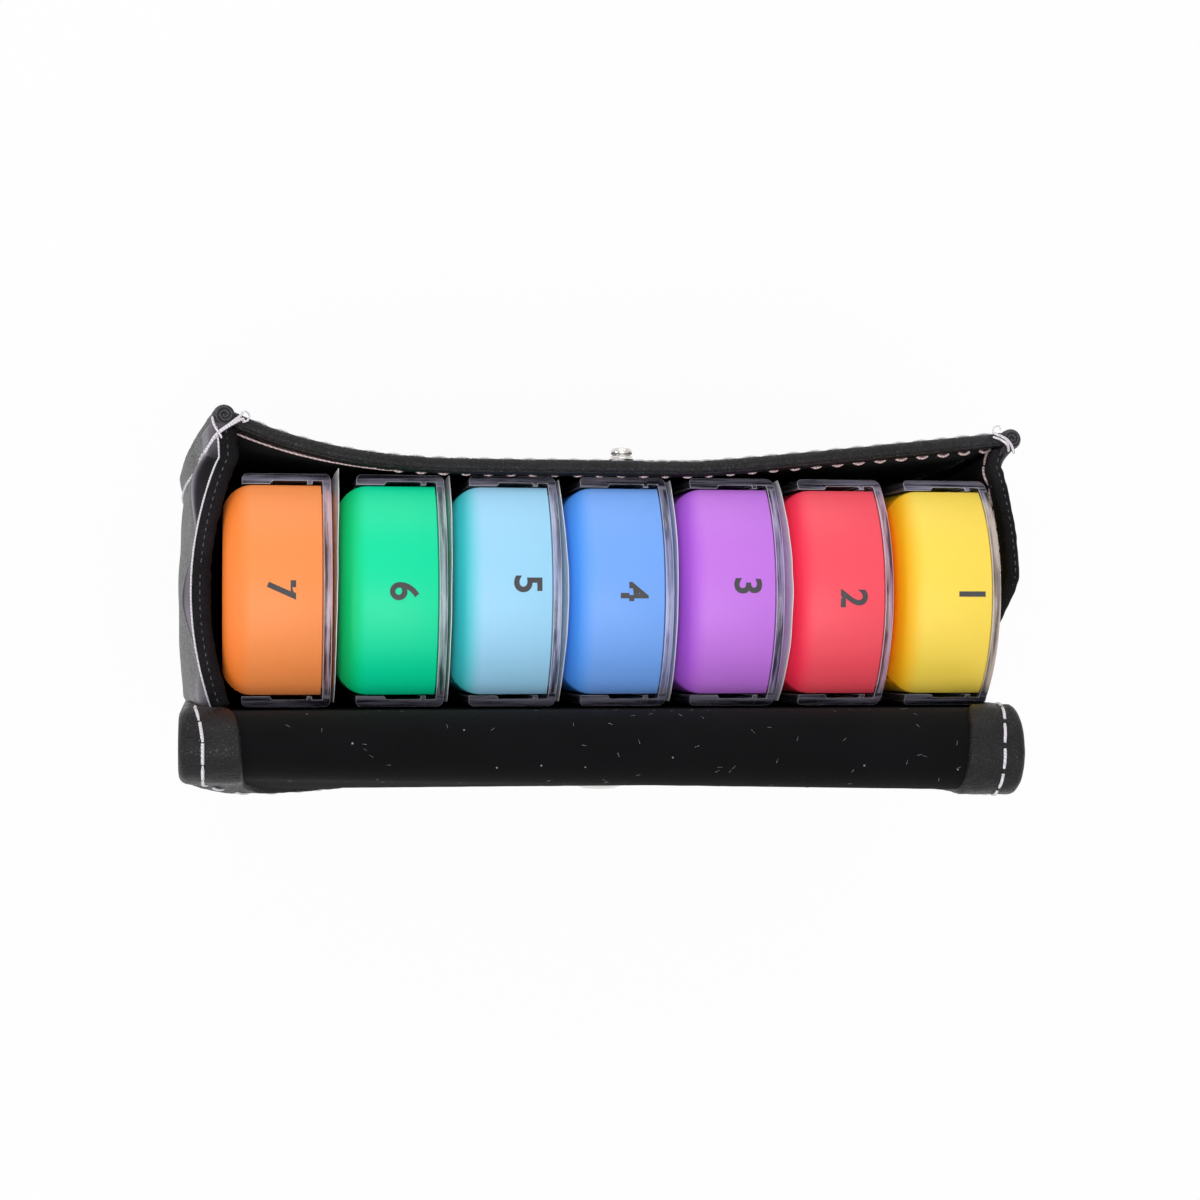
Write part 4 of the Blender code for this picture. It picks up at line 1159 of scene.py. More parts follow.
def build_hem(look):
    """The front's rolled hem: a creased leather roll with a seam line along its inner side."""
    half = HEM_THICK / 2
    foot = RIM_Z - HEM_HEIGHT
    rings = []
    length = sum((hem_line((k + 1) / 100)[0] - hem_line(k / 100)[0]).length for k in range(100))
    for share in shares(700):
        middle, outward = hem_line(share)
        full = blend(0.8, 1.0, eased(share, 0.006))
        ring = []
        section = [(half, foot + half, 0.0)]
        section += [(x, z, k / 18) for k, (x, z) in enumerate(arc((0, RIM_Z - half), half, 0, math.pi, 18))]
        section += [(-half, foot + half, 1.0)]
        section += [(x, z, 1.0) for x, z in arc((0, foot + half / 2), half, math.pi, 2 * math.pi, 8)]
        for out, z, turn in section:
            swell = 1 + 0.05 * noise.noise(Vector((share * length * 350, out * 350, z * 350)))
            swell -= 0.08 * hem_creases(share * length, math.pi * turn)
            swell -= 0.16 * bump_at(turn, 0.72, 0.035)
            spot = Vector((0, 0, z - middle.z - half)) + outward * out
            if turn in (0.0, 1.0):
                spot = outward * (out * swell) + Vector((0, 0, z - middle.z))
            else:
                hub = Vector((0, 0, RIM_Z - half - middle.z))
                arm = outward * out + Vector((0, 0, z - RIM_Z + half))
                spot = hub + arm * swell
            ring.append(middle + spot * full + Vector((0, 0, (1 - full) * (RIM_Z - middle.z - half))))
        rings.append(ring)
    hem = new_piece("front_rim_hem", tube_mesh("hem", rings), [look["leather"]])
    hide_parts("front_hem")
    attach(hem, "pouch")
    level = (RIM_Z - STITCH_DROP - WALL_FOOT) / (RIM_Z - WALL_FOOT)
    inner = [front_outer(u, level) + Vector((0, WALL + 0.35 * MM, 0)) for u in shares(200)]
    run = [spot for u, spot in zip(shares(200), inner) if u >= LONG_STRAND_FROM]
    mesh = strand_mesh("inner seam", run, 0.2 * MM, 0.2 * MM, 0.3)
    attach(new_piece("front_inner_seam", mesh, [look["pink thread"]], sharp=60), "pouch")
    inner = inner[:int(LONG_STRAND_FROM * len(inner))]
    outer = []
    for share in shares(200):
        middle, outward = hem_line(blend(0.01, 0.99, share))
        outer.append(middle + outward * half + Vector((0, 0, RIM_Z - STITCH_DROP + 1.2 * MM - middle.z)))
    stitches("front_inner_stitches", row_places(inner, Vector((0, 1, 0))), look, "pink thread", SMALL_STITCH)
    stitches("front_hem_stitches", row_places(outer, Vector((0, -1, 0))), look)


def build_welt(side, name, look):
    """The rolled seam up a front corner: a leather roll that shows its spiral on top."""
    rings = []
    steps = 90
    for step in range(steps + 1):
        rise = step / steps
        x, y = welt_centre(side, rise)
        z = blend(WALL_FOOT + WELT_RADIUS, RIM_Z, rise)
        radius = WELT_RADIUS * (1 + 0.05 * noise.noise(Vector((0, side * 3, z * 300))))
        radius *= blend(0.8, 1.0, min((RIM_Z - z) / (0.6 * MM), 1.0) ** 0.5)
        rings.append([
            Vector((x + radius * math.cos(a), y + radius * math.sin(a), z))
            for a in (2 * math.pi * k / 36 for k in range(36))
        ])
    welt = new_piece(f"{name}_corner_roll", tube_mesh(name, rings), [look["leather"]])
    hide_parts(f"{name}_corner_welt")
    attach(welt, "pouch")
    x, y = welt_centre(side, 1.0)
    spiral = []
    for step in range(90):
        turn = 2.3 * 2 * math.pi * step / 89
        reach = blend(0.25 * MM, WELT_RADIUS - 0.3 * MM, step / 89)
        spiral.append(Vector((x + reach * math.cos(turn), y + reach * math.sin(turn), RIM_Z)))
    mesh = strand_mesh("roll spiral", spiral, 0.16 * MM, 0.16 * MM, 0.4)
    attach(new_piece(f"{name}_roll_spiral", mesh, [look["raw edge"]]), "pouch")
    thread = THREADS[side]
    for index, (points, radius) in enumerate(thread):
        path = smooth_path([(x + side * out * MM, y + back * MM, RIM_Z + up * MM) for out, back, up in points], 10)
        mesh = strand_mesh("thread", path, radius * MM, radius * MM, 0.25)
        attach(new_piece(f"{name}_roll_thread_{index + 1}", mesh, [look["thread"]], sharp=60), "pouch")


# Thread wound over the rolls: points (outwards, back, up) from the top of the roll, and its radius, in mm
THREADS = {
    1: (
        (((-3.4, -0.6, 0.1), (-2.9, 0.3, 0.45), (-1.2, 1.7, 0.5), (1.2, 3.4, 0.0), (2.6, 5.3, -0.8),
          (3.9, 7.5, -1.3)), 0.28),
        (((-3.6, 1.5, -0.2), (-3.2, 0.9, 0.4), (-0.9, 2.2, 0.45), (1.3, 3.7, -0.1), (1.9, 4.6, -0.9)), 0.26),
        (((2.4, 0.4, -1.0), (2.1, 1.8, -0.3), (1.5, 3.0, 0.2), (0.6, 4.4, -0.3), (0.2, 5.6, -1.2)), 0.25),
        (((-3.2, -0.5, 0.2), (-4.0, -0.5, 0.5), (-4.6, 0.2, 0.4), (-4.3, 1.1, 0.2), (-3.5, 1.4, 0.1)), 0.2),
    ),
    -1: (
        (((-4.3, -1.2, 0.3), (-3.0, -0.6, 0.5), (-1.5, 0.1, 0.5), (-0.2, 1.5, 0.2), (0.6, 2.9, -0.8)), 0.28),
        (((-4.1, -0.3, 0.2), (-2.8, 0.2, 0.5), (-1.2, 1.2, 0.4), (-0.6, 2.6, -0.4)), 0.25),
        (((-4.2, -1.5, 0.3), (-3.9, -2.2, 0.6), (-3.0, -2.4, 0.5), (-2.5, -1.6, 0.3)), 0.14),
    ),
}


def build_base(look):
    """The base, leather outside and suede inside."""
    for node, name, finish, radius in (
        ("base_panel", "base_leather", "leather", 4.0 * MM),
        ("base_lining", "base_suede", "suede", 3.0 * MM),
    ):
        low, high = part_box(node)
        bm = block(low, high)
        upright = [
            edge for edge in bm.edges if abs(edge.verts[0].co.z - edge.verts[1].co.z) > MERGE
        ]
        bmesh.ops.bevel(bm, geom=upright, offset=radius, segments=8, profile=0.5, affect="EDGES")
        mesh = softened(mesh_from(bm, name), 0.5 * MM, 3)
        piece = new_piece(name, mesh, [look[finish]])
        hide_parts(node)
        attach(piece, "pouch")


# Flap: one skin from the foot of the back, over the arch and down to the tongue's tip.
# Its length is measured from the first hinge, up the back being negative.

STRIP_CHORD = 2 * ARCH_RADIUS * math.sin(math.pi / 8)
FOLD_AT = ARCH_LENGTH + FLAT_LENGTH
TIP_AT = FOLD_AT + TONGUE_LENGTH
FOOT_AT = WALL_FOOT - HINGE_Z
STRIP_LENGTH = ARCH_LENGTH / 4
BEND_MARGIN = (WALL + HEM_RAISE) * math.sin(math.pi / 8)
HINGE_REACH = 3.0 * MM
FOLD_REACH = 4.5 * MM


def flap_spot(along):
    """The suede face of the flap at this length, as (y, z), and which way it faces."""
    if along < 0:
        return (HINGE_Y, HINGE_Z + along), (-1.0, 0.0)
    if along > ARCH_LENGTH:
        return (HINGE_Y + 2 * ARCH_RADIUS, HINGE_Z - (along - ARCH_LENGTH)), (1.0, 0.0)
    angle = math.pi * (1 - along / ARCH_LENGTH)
    way = (math.cos(angle), math.sin(angle))
    return (HINGE_Y + ARCH_RADIUS * (1 + way[0]), HINGE_Z + ARCH_RADIUS * way[1]), way


def flap_ends(along):
    """Where the skin's two side edges lie at this length, as x."""
    half = FOLD_HALF
    middle = FLAP_SHIFT + FLAP_SETTLE
    if along < 0:
        share = (along - FOOT_AT) / -FOOT_AT
        half = blend(FOOT_HALF, FLAP_HALF, share)
        middle *= share
    elif along <= FOLD_AT:
        share = min(max((along - ARCH_LENGTH) / (FOLD_AT - ARCH_LENGTH), 0.0), 1.0)
        half = blend(FLAP_HALF, FOLD_HALF, (1 - math.cos(math.pi * share)) / 2)
    else:
        corner = TIP_AT - TONGUE_ROUND
        half = blend(FOLD_HALF, TONGUE_HALF, min((along - FOLD_AT) / (corner - FOLD_AT), 1.0))
        if along > corner:
            over = min(along - corner, TONGUE_ROUND)
            half = TONGUE_HALF - TONGUE_ROUND + math.sqrt(TONGUE_ROUND ** 2 - over ** 2)
    return middle - half, middle + half


def hem_width(along):
    """Width of the leather turned over the skin's side edge, seen on the suede side."""
    inside = blend(3.0 * MM, 8.8 * MM, ramp(along, -9 * MM, 0.5 * MM))
    inside += 3.2 * MM * (1 - math.exp(-max(along, 0.0) / (6 * MM)))
    return blend(inside, 8 * MM, ramp(along, ARCH_LENGTH, ARCH_LENGTH + 12 * MM))


def flap_skew(x, along):
    """How far the arch stands back here: its free end slants a little towards the front at +X."""
    slant = -(0.9 * MM + 1.8 * MM * x / FLAP_HALF)
    return slant * ramp(along, 0.0, ARCH_LENGTH) * (1 - ramp(along, ARCH_LENGTH, ARCH_LENGTH + 14 * MM))


LEATHER_SLOT = 0
SUEDE_SLOT = 1
HEM_SHARES = (0.04, 0.1, 0.18, 0.27, 0.36, 0.45, 0.54, 0.63, 0.72, 0.81, 0.89, 0.95, 0.985)
SUEDE_COLUMNS = 40
LEATHER_COLUMNS = 60
EDGE_STEPS = 10
TIP_HEM = 8 * MM
EDGE_ROLL = (WALL + HEM_RAISE) / 2
LEATHER_ROUGH = 0.14 * MM
SUEDE_ROUGH = 0.04 * MM


def flap_stations(along):
    """Half the skin cut across, from its middle on the suede side round to the leather side.

    Each station is (distance from the middle, depth below the suede face, roughness, finish)."""
    low, high = flap_ends(along)
    half = (high - low) / 2
    width = hem_width(along)
    raised = ramp(along, TIP_AT - TIP_HEM - 0.4 * MM, TIP_AT - TIP_HEM)
    finish = LEATHER_SLOT if raised > 0.5 else SUEDE_SLOT
    rough = blend(SUEDE_ROUGH, LEATHER_ROUGH, raised)
    stations = [
        ((half - width) * step / SUEDE_COLUMNS, -HEM_RAISE * raised, rough, finish)
        for step in range(SUEDE_COLUMNS + 1)
    ]
    for share in reversed(HEM_SHARES):
        reach = blend(EDGE_ROLL, width, share)
        rise = math.sqrt(1 - max((share - 0.93) / 0.07, 0.0) ** 2)
        stations.append((half - reach, -HEM_RAISE * rise, LEATHER_ROUGH, LEATHER_SLOT))
    for step in range(EDGE_STEPS + 1):
        turn = math.pi * step / EDGE_STEPS
        out = half - EDGE_ROLL * (1 - math.sin(turn))
        depth = WALL / 2 - HEM_RAISE / 2 - EDGE_ROLL * math.cos(turn)
        stations.append((out, depth, LEATHER_ROUGH, LEATHER_SLOT))
    for step in range(1, LEATHER_COLUMNS + 1):
        out = (half - EDGE_ROLL) * (1 - step / LEATHER_COLUMNS)
        stations.append((out, WALL, LEATHER_ROUGH / 2, LEATHER_SLOT))
    return stations


def flap_ring(along, fullness=1.0):
    """The skin's points round one cut across it, and the finish from each point to the next."""
    (y, z), (way_y, way_z) = flap_spot(along)
    low, high = flap_ends(along)
    middle = (low + high) / 2
    half_ring = flap_stations(along)
    ring = [(middle + out, depth, rough, finish) for out, depth, rough, finish in half_ring]
    ring += [(middle - out, depth, rough, finish) for out, depth, rough, finish in reversed(half_ring[1:-1])]
    core = (WALL - HEM_RAISE) / 2
    points = []
    for x, depth, rough, finish in ring:
        place = Vector((x, along, depth)) * 300
        bump = rough * (noise.noise(place) + 0.6 * noise.noise(place * 2.3))
        out = bump - core - (depth - core) * fullness
        points.append(Vector((x, y + way_y * out + flap_skew(x, along), z + way_z * out)))
    return points, [finish for x, depth, rough, finish in ring]


def flap_skin(name, low, high, rows):
    """A closed stretch of the skin between two lengths."""
    bm = bmesh.new()
    rings = []
    for share in rows:
        along = blend(low, high, share)
        fullness = 1.0
        if along > TIP_AT - EDGE_ROLL:
            over = (along - TIP_AT + EDGE_ROLL) / EDGE_ROLL
            fullness = max(math.sqrt(max(1 - over ** 2, 0.0)), 0.1)
        points, finishes = flap_ring(along, fullness)
        rings.append(([bm.verts.new(point) for point in points], finishes))
    for (near, finishes), (far, far_finishes) in zip(rings, rings[1:]):
        for index in range(len(near)):
            after = (index + 1) % len(near)
            face = bm.faces.new((near[index], near[after], far[after], far[index]))
            face.material_index = min(
                finishes[index] * finishes[after], far_finishes[index] * far_finishes[after]
            )
    for ring, finishes in (rings[0], rings[-1]):
        bm.faces.new(ring)
    return mesh_from(bm, name)


def bend_ends(low, high):
    """Where a bend over the skin from low to high starts and ends, so that its cut ends stay whole."""
    def faces(along):
        (y, z), (way_y, way_z) = flap_spot(along)
        return [Vector((FLAP_SHIFT, y - way_y * d, z - way_z * d)) for d in (0, -HEM_RAISE, WALL)]
    start = faces(low)
    end = faces(high)
    way = (end[0] - start[0]).normalized()
    first = max(point.dot(way) for point in start)
    last = min(point.dot(way) for point in end)
    return start[0] + way * (first - start[0].dot(way)), start[0] + way * (last - start[0].dot(way))


# name, bodies, start, end, rows, and the CAD nodes that the stretch stands for
FLAP_STRETCHES = (
    ("back", ("pouch",), FOOT_AT, -HINGE_REACH, 90, ("back_panel", "back_lining")),
    ("bend_1", ("pouch", "arch_1"), -HINGE_REACH, 0.5 * STRIP_LENGTH, 14, ("flap_bend_1",)),
    ("bend_2", ("arch_1", "arch_2"), 0.5 * STRIP_LENGTH, 1.5 * STRIP_LENGTH, 14, ("flap_bend_2",)),
    ("bend_3", ("arch_2", "arch_3"), 1.5 * STRIP_LENGTH, 2.5 * STRIP_LENGTH, 14, ("flap_bend_3",)),
    ("bend_4", ("arch_3", "arch_4"), 2.5 * STRIP_LENGTH, 3.5 * STRIP_LENGTH, 14, ("flap_bend_4",)),
    ("bend_5", ("arch_4", "flap_top"), 3.5 * STRIP_LENGTH, ARCH_LENGTH + HINGE_REACH, 14, ()),
    ("top", ("flap_top",), ARCH_LENGTH + HINGE_REACH, FOLD_AT - FOLD_REACH, 36,
     ("flap_panel", "flap_lining")),
    ("fold", ("flap_top", "flap_front"), FOLD_AT - FOLD_REACH, FOLD_AT + FOLD_REACH, 20, ()),
    ("tongue", ("flap_front",), FOLD_AT + FOLD_REACH, TIP_AT, 46,
     ("flap_tongue", "flap_tongue_lining")),
)


def carry(piece, bodies, low, high):
    """Let a stretch ride its body; a stretch between two bodies only has its transform baked into its mesh."""
    if len(bodies) == 1:
        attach(piece, bodies[0])
    else:
        start, end = bend_ends(low, high)
        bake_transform(piece)


def build_flap(look):
    """The back and the flap, one stretch for each body or bend, with their stitches."""
    for name, bodies, low, high, rows, nodes in FLAP_STRETCHES:
        along = shares(rows)
        if name == "tongue":
            along = along[:-3] + [1 - 0.02 * (1 - step / 8) ** 2 for step in range(9)]
        skin = new_piece(f"flap_{name}_skin", flap_skin(name, low, high, along), [look["leather"], look["suede"]])
        if nodes:
            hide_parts(*nodes)
        carry(skin, bodies, low, high)
        places = flap_stitch_places(low, high)
        if places:
            mesh = stitch_mesh(name, places)
            row = new_piece(f"flap_{name}_stitches", mesh, [look["thread"]], sharp=60)
            carry(row, bodies, low, high)


# Stitches

STITCH_PITCH = 4.4 * MM
STITCH_LENGTH = 3.9 * MM
STITCH_THICK = 0.3 * MM
STITCH_DROP = 4.2 * MM
SMALL_STITCH = 2.3 * MM
LONG_STRAND_FROM = 0.8    # of the front, from its -X end: its last stitches run into one line


def stitch_tree():
    """Geometry Nodes: a short arched length of thread on every point, turned to its row."""
    tree = bpy.data.node_groups.new("Stitch row", "GeometryNodeTree")
    face = tree.interface
    face.new_socket("Points", in_out="INPUT", socket_type="NodeSocketGeometry")
    for name, default in (("Length", STITCH_LENGTH), ("Thickness", STITCH_THICK)):
        socket = face.new_socket(name, in_out="INPUT", socket_type="NodeSocketFloat")
        socket.default_value = default
    face.new_socket("Finish", in_out="INPUT", socket_type="NodeSocketMaterial")
    face.new_socket("Thread", in_out="OUTPUT", socket_type="NodeSocketGeometry")
    node = tree.nodes.new
    link = tree.links.new
    inputs = node("NodeGroupInput")
    half = node("ShaderNodeMath")
    half.operation = "MULTIPLY"
    half.inputs[1].default_value = 0.5
    link(inputs.outputs["Length"], half.inputs[0])
    minus = node("ShaderNodeMath")
    minus.operation = "MULTIPLY"
    minus.inputs[1].default_value = -0.5
    link(inputs.outputs["Length"], minus.inputs[0])
    sunk = node("ShaderNodeMath")
    sunk.operation = "MULTIPLY"
    sunk.inputs[1].default_value = -1.0
    link(inputs.outputs["Thickness"], sunk.inputs[0])
    crown = node("ShaderNodeMath")
    crown.operation = "MULTIPLY"
    crown.inputs[1].default_value = 1.9
    link(inputs.outputs["Thickness"], crown.inputs[0])
    ends = []
    for x, z in ((minus, sunk), (None, crown), (half, sunk)):
        spot = node("ShaderNodeCombineXYZ")
        if x:
            link(x.outputs[0], spot.inputs["X"])
        link(z.outputs[0], spot.inputs["Z"])
        ends.append(spot)
    path = node("GeometryNodeCurveQuadraticBezier")
    path.inputs["Resolution"].default_value = 6
    for name, spot in zip(("Start", "Middle", "End"), ends):
        link(spot.outputs[0], path.inputs[name])
    ring = node("GeometryNodeCurvePrimitiveCircle")
    ring.inputs["Resolution"].default_value = 6
    link(inputs.outputs["Thickness"], ring.inputs["Radius"])
    thread = node("GeometryNodeCurveToMesh")
    thread.inputs["Fill Caps"].default_value = True
    link(path.outputs["Curve"], thread.inputs["Curve"])
    link(ring.outputs["Curve"], thread.inputs["Profile Curve"])
    turn = node("FunctionNodeAxesToRotation")
    turn.primary_axis = "Z"
    turn.secondary_axis = "X"
    for name, socket in (("up", "Primary Axis"), ("ahead", "Secondary Axis")):
        way = node("GeometryNodeInputNamedAttribute")
        way.data_type = "FLOAT_VECTOR"
        way.inputs["Name"].default_value = name
        link(way.outputs["Attribute"], turn.inputs[socket])
    rows = node("GeometryNodeInstanceOnPoints")
    link(inputs.outputs["Points"], rows.inputs["Points"])
    link(thread.outputs["Mesh"], rows.inputs["Instance"])
    link(turn.outputs["Rotation"], rows.inputs["Rotation"])
    real = node("GeometryNodeRealizeInstances")
    link(rows.outputs["Instances"], real.inputs["Geometry"])
    finish = node("GeometryNodeSetMaterial")
    link(inputs.outputs["Finish"], finish.inputs["Material"])
    link(real.outputs["Geometry"], finish.inputs["Geometry"])
    output = node("NodeGroupOutput")
    link(finish.outputs["Geometry"], output.inputs["Thread"])
    return tree


def grown(name, points, tree, settings):
    """The plain mesh that a Geometry Nodes tree grows on points with "ahead" and "up" ways."""
    seeds = bpy.data.meshes.new(name)
    seeds.from_pydata([place for place, ahead, up in points], [], [])
    for label, index in (("ahead", 1), ("up", 2)):
        ways = seeds.attributes.new(label, "FLOAT_VECTOR", "POINT")
        ways.data.foreach_set("vector", [value for point in points for value in point[index]])
    carrier = bpy.data.objects.new(name, seeds)
    bpy.context.scene.collection.objects.link(carrier)
    modifier = carrier.modifiers.new("Grow", "NODES")
    modifier.node_group = tree
    for item in tree.interface.items_tree:
        if item.in_out == "INPUT" and item.name in settings:
            modifier[item.identifier] = settings[item.name]
    depsgraph = bpy.context.evaluated_depsgraph_get()
    mesh = bpy.data.meshes.new_from_object(carrier.evaluated_get(depsgraph))
    bpy.data.objects.remove(carrier)
    bpy.data.meshes.remove(seeds)
    mesh.materials.clear()
    return mesh


def stitch_mesh(name, places, length=STITCH_LENGTH, thick=STITCH_THICK):
    """The mesh of a row of stitches."""
    tree = bpy.data.node_groups.get("Stitch row") or stitch_tree()
    return grown(name, places, tree, {"Length": length, "Thickness": thick})


def stitches(name, places, look, finish="thread", length=STITCH_LENGTH):
    """A row of stitches on the pouch as one piece."""
    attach(new_piece(name, stitch_mesh(name, places, length), [look[finish]], sharp=60), "pouch")


def row_places(spots, outward, pitch=STITCH_PITCH):
    """Stitch places along a line of spots: (place, ahead, up), up being nearest to outward."""
    places = []
    due = pitch / 2
    done = 0.0
    for near, far in zip(spots, spots[1:]):
        step = far - near
        while step.length and due <= done + step.length:
            ahead = step.normalized()
            up = (outward - ahead * outward.dot(ahead)).normalized()
            places.append((near + step * ((due - done) / step.length), ahead, up))
            due += pitch
        done += step.length
    return places


LINT_COUNT = 70
LINT_LENGTH = 0.9 * MM
LINT_THICK = 0.03 * MM


def build_lint(look):
    """Loose fibres lying on the suede of the arch."""
    draw = random.Random(7)
    for name, bodies, low, high, rows, nodes in FLAP_STRETCHES[1:6]:
        places = []
        for index in range(LINT_COUNT // 5):
            along = draw.uniform(low, high)
            x = draw.uniform(-0.8, 0.8) * FLAP_HALF
            (y, z), (way_y, way_z) = flap_spot(along)
            up = Vector((0, way_y, way_z))
            turn = Matrix.Rotation(draw.uniform(0, math.pi), 3, up)
            spot = Vector((x, y + flap_skew(x, along), z)) + up * (0.02 * MM)
            places.append((spot, turn @ Vector((1, 0, 0)), up))
        lint = new_piece(f"lint_{name}", stitch_mesh("lint", places, LINT_LENGTH, LINT_THICK), [look["grey lint"]])
        carry(lint, bodies, low, high)


def stitch_inset(along):
    """How far the flap's stitches lie in from its side edge."""
    return blend(3.0 * MM, 4.5 * MM, ramp(along, 0.0, 12 * MM))


def flap_stitch_places(low, high):
    """Stitch places on both hems and both faces of the flap between two lengths."""
    places = []
    first = math.ceil(max(low, -1 * MM) / STITCH_PITCH)
    last = math.ceil(min(high, TIP_AT - TONGUE_ROUND) / STITCH_PITCH)
    for index in range(first, last):
        along = index * STITCH_PITCH
        for end in (0, 1):
            for face, depth in ((1, HEM_RAISE), (-1, WALL)):
                spots = []
                for reach in (along, along + 0.1 * MM):
                    (y, z), (way_y, way_z) = flap_spot(reach)
                    x = flap_ends(reach)[end] + (1 - 2 * end) * stitch_inset(reach)
                    y += flap_skew(x, reach)
                    spots.append(Vector((x, y + face * way_y * depth, z + face * way_z * depth)))
                ahead = (spots[1] - spots[0]).normalized()
                places.append((spots[0], ahead, face * Vector((0, way_y, way_z))))
    return places


# Snap stud

def turned(name, profile, base, out, steps=48):
    """A turned piece: profile points (radius, height) round the axis from base along out."""
    turn = out.to_track_quat("Z", "Y")
    rings = []
    for radius, height in profile:
        rings.append([
            base + turn @ Vector((radius * math.cos(a), radius * math.sin(a), height))
            for a in (2 * math.pi * k / steps for k in range(steps))
        ])
    return tube_mesh(name, rings)


def rounded_profile(points, radius, steps=4):
    """A turned profile with its corners rounded off."""
    result = [points[0]]
    for before, here, after in zip(points, points[1:], points[2:]):
        corner = Vector(here)
        back = Vector(before) - corner
        ahead = Vector(after) - corner
        cut = min(radius, back.length * 0.45, ahead.length * 0.45)
        start = corner + back.normalized() * cut
        end = corner + ahead.normalized() * cut
        for step in range(steps + 1):
            share = step / steps
            curve = start * (1 - share) ** 2 + corner * (2 * share * (1 - share)) + end * share ** 2
            result.append(tuple(curve))
    result.append(points[-1])
    return result


def turned_piece(node, points, base, out, body, look):
    """A turned metal piece in place of its CAD node: profile points (radius, height) in mm."""
    profile = [(max(radius, 0.02) * MM, height * MM) for radius, height in points]
    mesh = turned(node, rounded_profile(profile, 0.2 * MM), base, out)
    piece = new_piece(f"{node}_turned", mesh, [look["nickel"]], sharp=50)
    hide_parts(node)
    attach(piece, body)


def build_snap(look):
    """The stud on the front, its eyelet inside, and the tongue's socket and cap."""
    low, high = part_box("snap_stud")
    middle = (low + high) / 2
    tall = high.y - low.y
    stud = [
        (0, 0), (2.45, 0), (2.45, 0.3), (2.15, 0.45), (2.15, 0.8), (1.95, 0.9), (1.8, 1.0), (1.8, 1.12),
        (2.12, 1.2), (2.16, tall / MM - 0.7), (1.85, tall / MM - 0.22), (1.1, tall / MM - 0.04),
        (0, tall / MM),
    ]
    turned_piece("snap_stud", stud, Vector((middle.x, high.y, middle.z)), Vector((0, -1, 0)), "pouch", look)
    low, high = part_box("stud_eyelet")
    middle = (low + high) / 2
    eyelet = [(0, 0), (2.8, 0), (3.7, 0.3), (3.8, 0.7), (1.3, 0.7), (1.3, (high.y - low.y) / MM), (0, (high.y - low.y) / MM)]
    turned_piece("stud_eyelet", eyelet, Vector((middle.x, high.y, middle.z)), Vector((0, -1, 0)), "pouch", look)
    low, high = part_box("snap_socket")
    middle = (low + high) / 2
    socket = [
        (0, 0), (5.0, 0), (5.0, 1.15), (4.6, 1.75), (3.4, 2.3), (2.5, 2.3), (2.5, 1.6), (2.65, 1.4),
        (2.5, 1.2), (2.5, 0.5), (0, 0.5),
    ]
    turned_piece("snap_socket", socket, Vector((middle.x, low.y, middle.z)), Vector((0, 1, 0)), "flap_front", look)
    low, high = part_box("snap_cap")
    middle = (low + high) / 2
    tall = (high.y - low.y) / MM
    cap = [
        (0, 0), (1.3, 0), (1.3, tall - 1.5), (6.0, tall - 1.5), (6.2, tall - 1.2), (6.1, tall - 0.85),
        (5.2, tall - 0.45), (3.2, tall - 0.12), (0, tall),
    ]
    turned_piece("snap_cap", cap, Vector((middle.x, high.y, middle.z)), Vector((0, -1, 0)), "flap_front", look)


# Scene

def build_camera():
    """The photograph's view: from above the pouch, over towards box 7."""
    lens = bpy.data.cameras.new("camera")
    lens.sensor_width = 36.0
    lens.lens = CAMERA_FOCAL * lens.sensor_width / IMAGE_WIDTH
    lens.clip_start = 0.01
    lens.clip_end = 20.0
    camera = bpy.data.objects.new("camera", lens)
    bpy.context.scene.collection.objects.link(camera)
    look_from = Vector(CAMERA_FROM)
    forward = (Vector(CAMERA_AT) - look_from).normalized()
    right = forward.cross(Vector((0, -1, 0))).normalized()
    up = right.cross(forward)
    turn = Matrix((right, up, -forward)).transposed().to_4x4()
    camera.matrix_world = Matrix.Translation(look_from) @ turn @ Matrix.Rotation(CAMERA_ROLL, 4, "Z")
    bpy.context.scene.camera = camera


IMAGE_WIDTH = 1200
CAMERA_FOCAL = 2316.0     # in pixels of the image
CAMERA_FROM = (0.07265, 0.0104, 0.551)
CAMERA_AT = (0.00425, 0.0019, 0.111)
CAMERA_ROLL = math.radians(0.0)


def seen_or_mirrored(tree):
    """1 for rays from the camera, off shiny surfaces and through clear ones."""
    rays = tree.nodes.new("ShaderNodeLightPath")
    either = math_node(tree, "MAXIMUM", rays.outputs["Is Camera Ray"], rays.outputs["Is Glossy Ray"])
    return math_node(tree, "MAXIMUM", either, rays.outputs["Is Transmission Ray"])


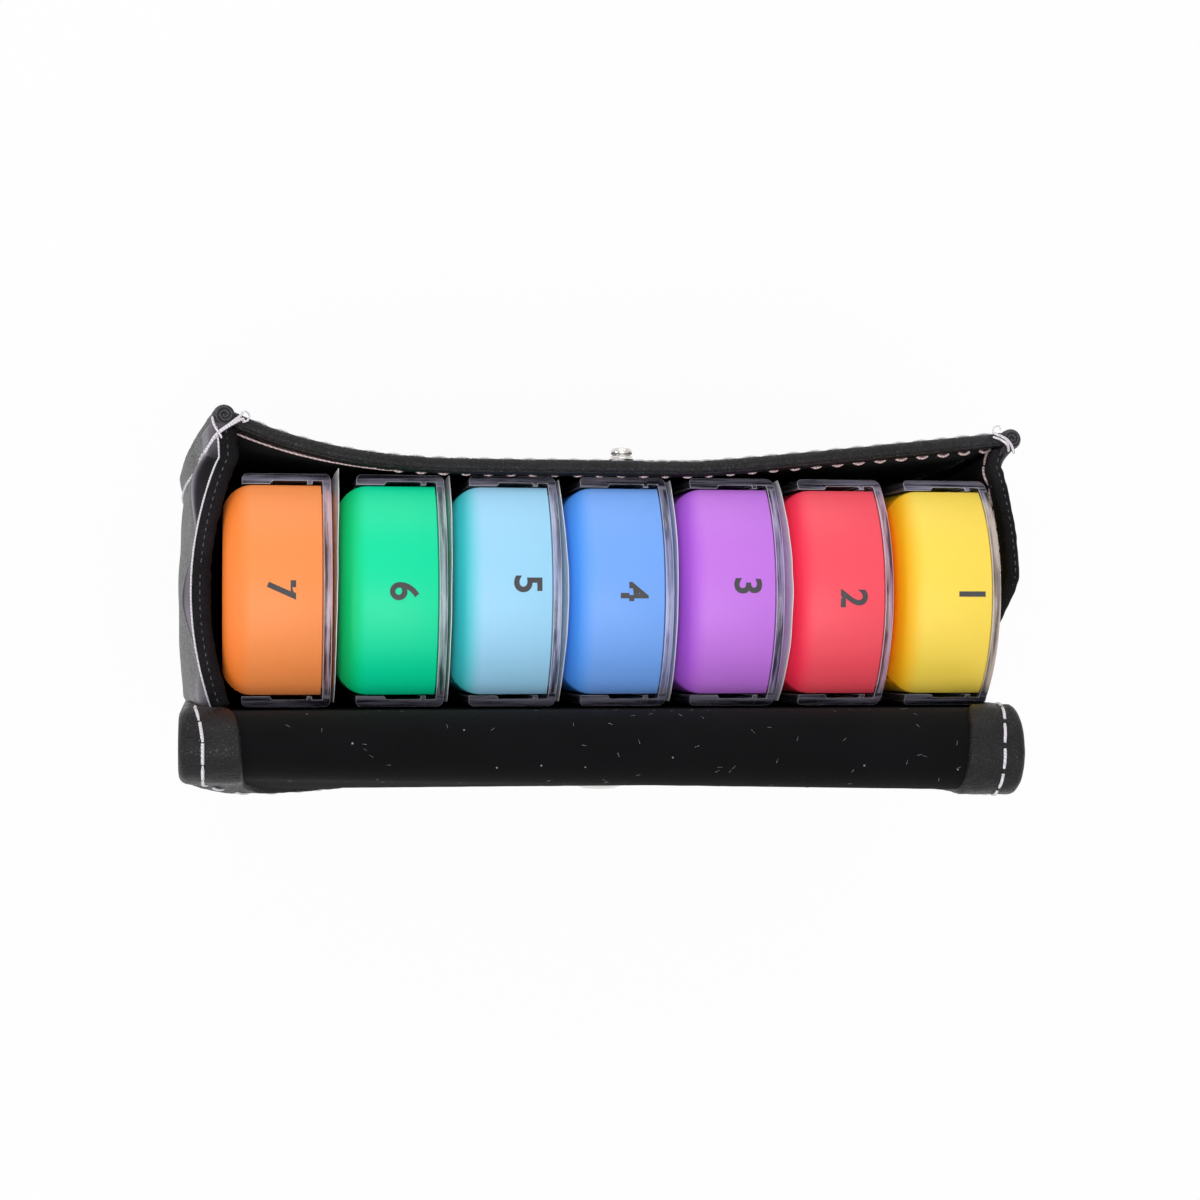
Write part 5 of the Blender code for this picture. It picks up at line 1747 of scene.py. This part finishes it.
def build_floor():
    """A pale floor, white where it is seen."""
    bm = bmesh.new()
    bmesh.ops.create_grid(bm, x_segments=2, y_segments=2, size=3.0)
    floor = bpy.data.objects.new("floor", mesh_from(bm, "floor"))
    bpy.context.scene.collection.objects.link(floor)
    material, tree, shader = new_material("white floor")
    shader.inputs["Base Color"].default_value = (0.86, 0.86, 0.86, 1)
    shader.inputs["Roughness"].default_value = 0.9
    glow = add_node(tree, "ShaderNodeEmission", {"Strength": 1.0})
    amount = math_node(tree, "MULTIPLY", seen_or_mirrored(tree), FLOOR_GLOW)
    mix = add_node(tree, "ShaderNodeMixShader", {0: amount, 1: shader.outputs[0], 2: glow.outputs[0]})
    tree.links.new(mix.outputs[0], tree.nodes["Material Output"].inputs["Surface"])
    floor.data.materials.append(material)


def build_world():
    """Even light from all round, white where it is seen."""
    world = bpy.data.worlds.new("studio")
    world.use_nodes = True
    bpy.context.scene.world = world
    tree = world.node_tree
    surround = tree.nodes["Background"]
    surround.inputs["Color"].default_value = (1, 1, 1, 1)
    surround.inputs["Strength"].default_value = SURROUND_LIGHT
    white = add_node(tree, "ShaderNodeBackground", {"Strength": 1.0})
    mix = add_node(tree, "ShaderNodeMixShader", {
        0: seen_or_mirrored(tree), 1: surround.outputs[0], 2: white.outputs[0],
    })
    tree.links.new(mix.outputs[0], tree.nodes["World Output"].inputs["Surface"])


def build_lamps():
    """Soft rectangular lamps turned to the boxes."""
    for name, place, size, power in LAMPS:
        lamp = bpy.data.lights.new(name, "AREA")
        lamp.shape = "RECTANGLE"
        lamp.size, lamp.size_y = size
        lamp.energy = power
        obj = bpy.data.objects.new(name, lamp)
        obj.location = place
        obj.rotation_euler = (Vector((0, 0, 0.1)) - Vector(place)).to_track_quat("-Z", "Y").to_euler()
        bpy.context.scene.collection.objects.link(obj)


FLOOR_GLOW = 0.95
SURROUND_LIGHT = 0.56
LAMPS = (
    ("key_lamp", (0.0, -1.0, 0.55), (1.0, 0.5), 3.0),
    ("side_lamp", (1.0, 0.1, 0.5), (0.6, 0.5), 2.0),
    ("top_lamp", (0.05, 0.3, 1.2), (0.9, 0.6), 5.5),
)


def build():
    """The organiser in its scene."""
    look = build_materials()
    build_boxes(look)
    build_front(look)
    for side, name in ((1, "left"), (-1, "right")):
        build_gusset(side, name, look)
        build_welt(side, name, look)
    build_hem(look)
    build_base(look)
    build_flap(look)
    build_lint(look)
    build_snap(look)
    build_camera()
    build_floor()
    build_world()
    build_lamps()
    bpy.context.scene.view_settings.view_transform = "Standard"


build()
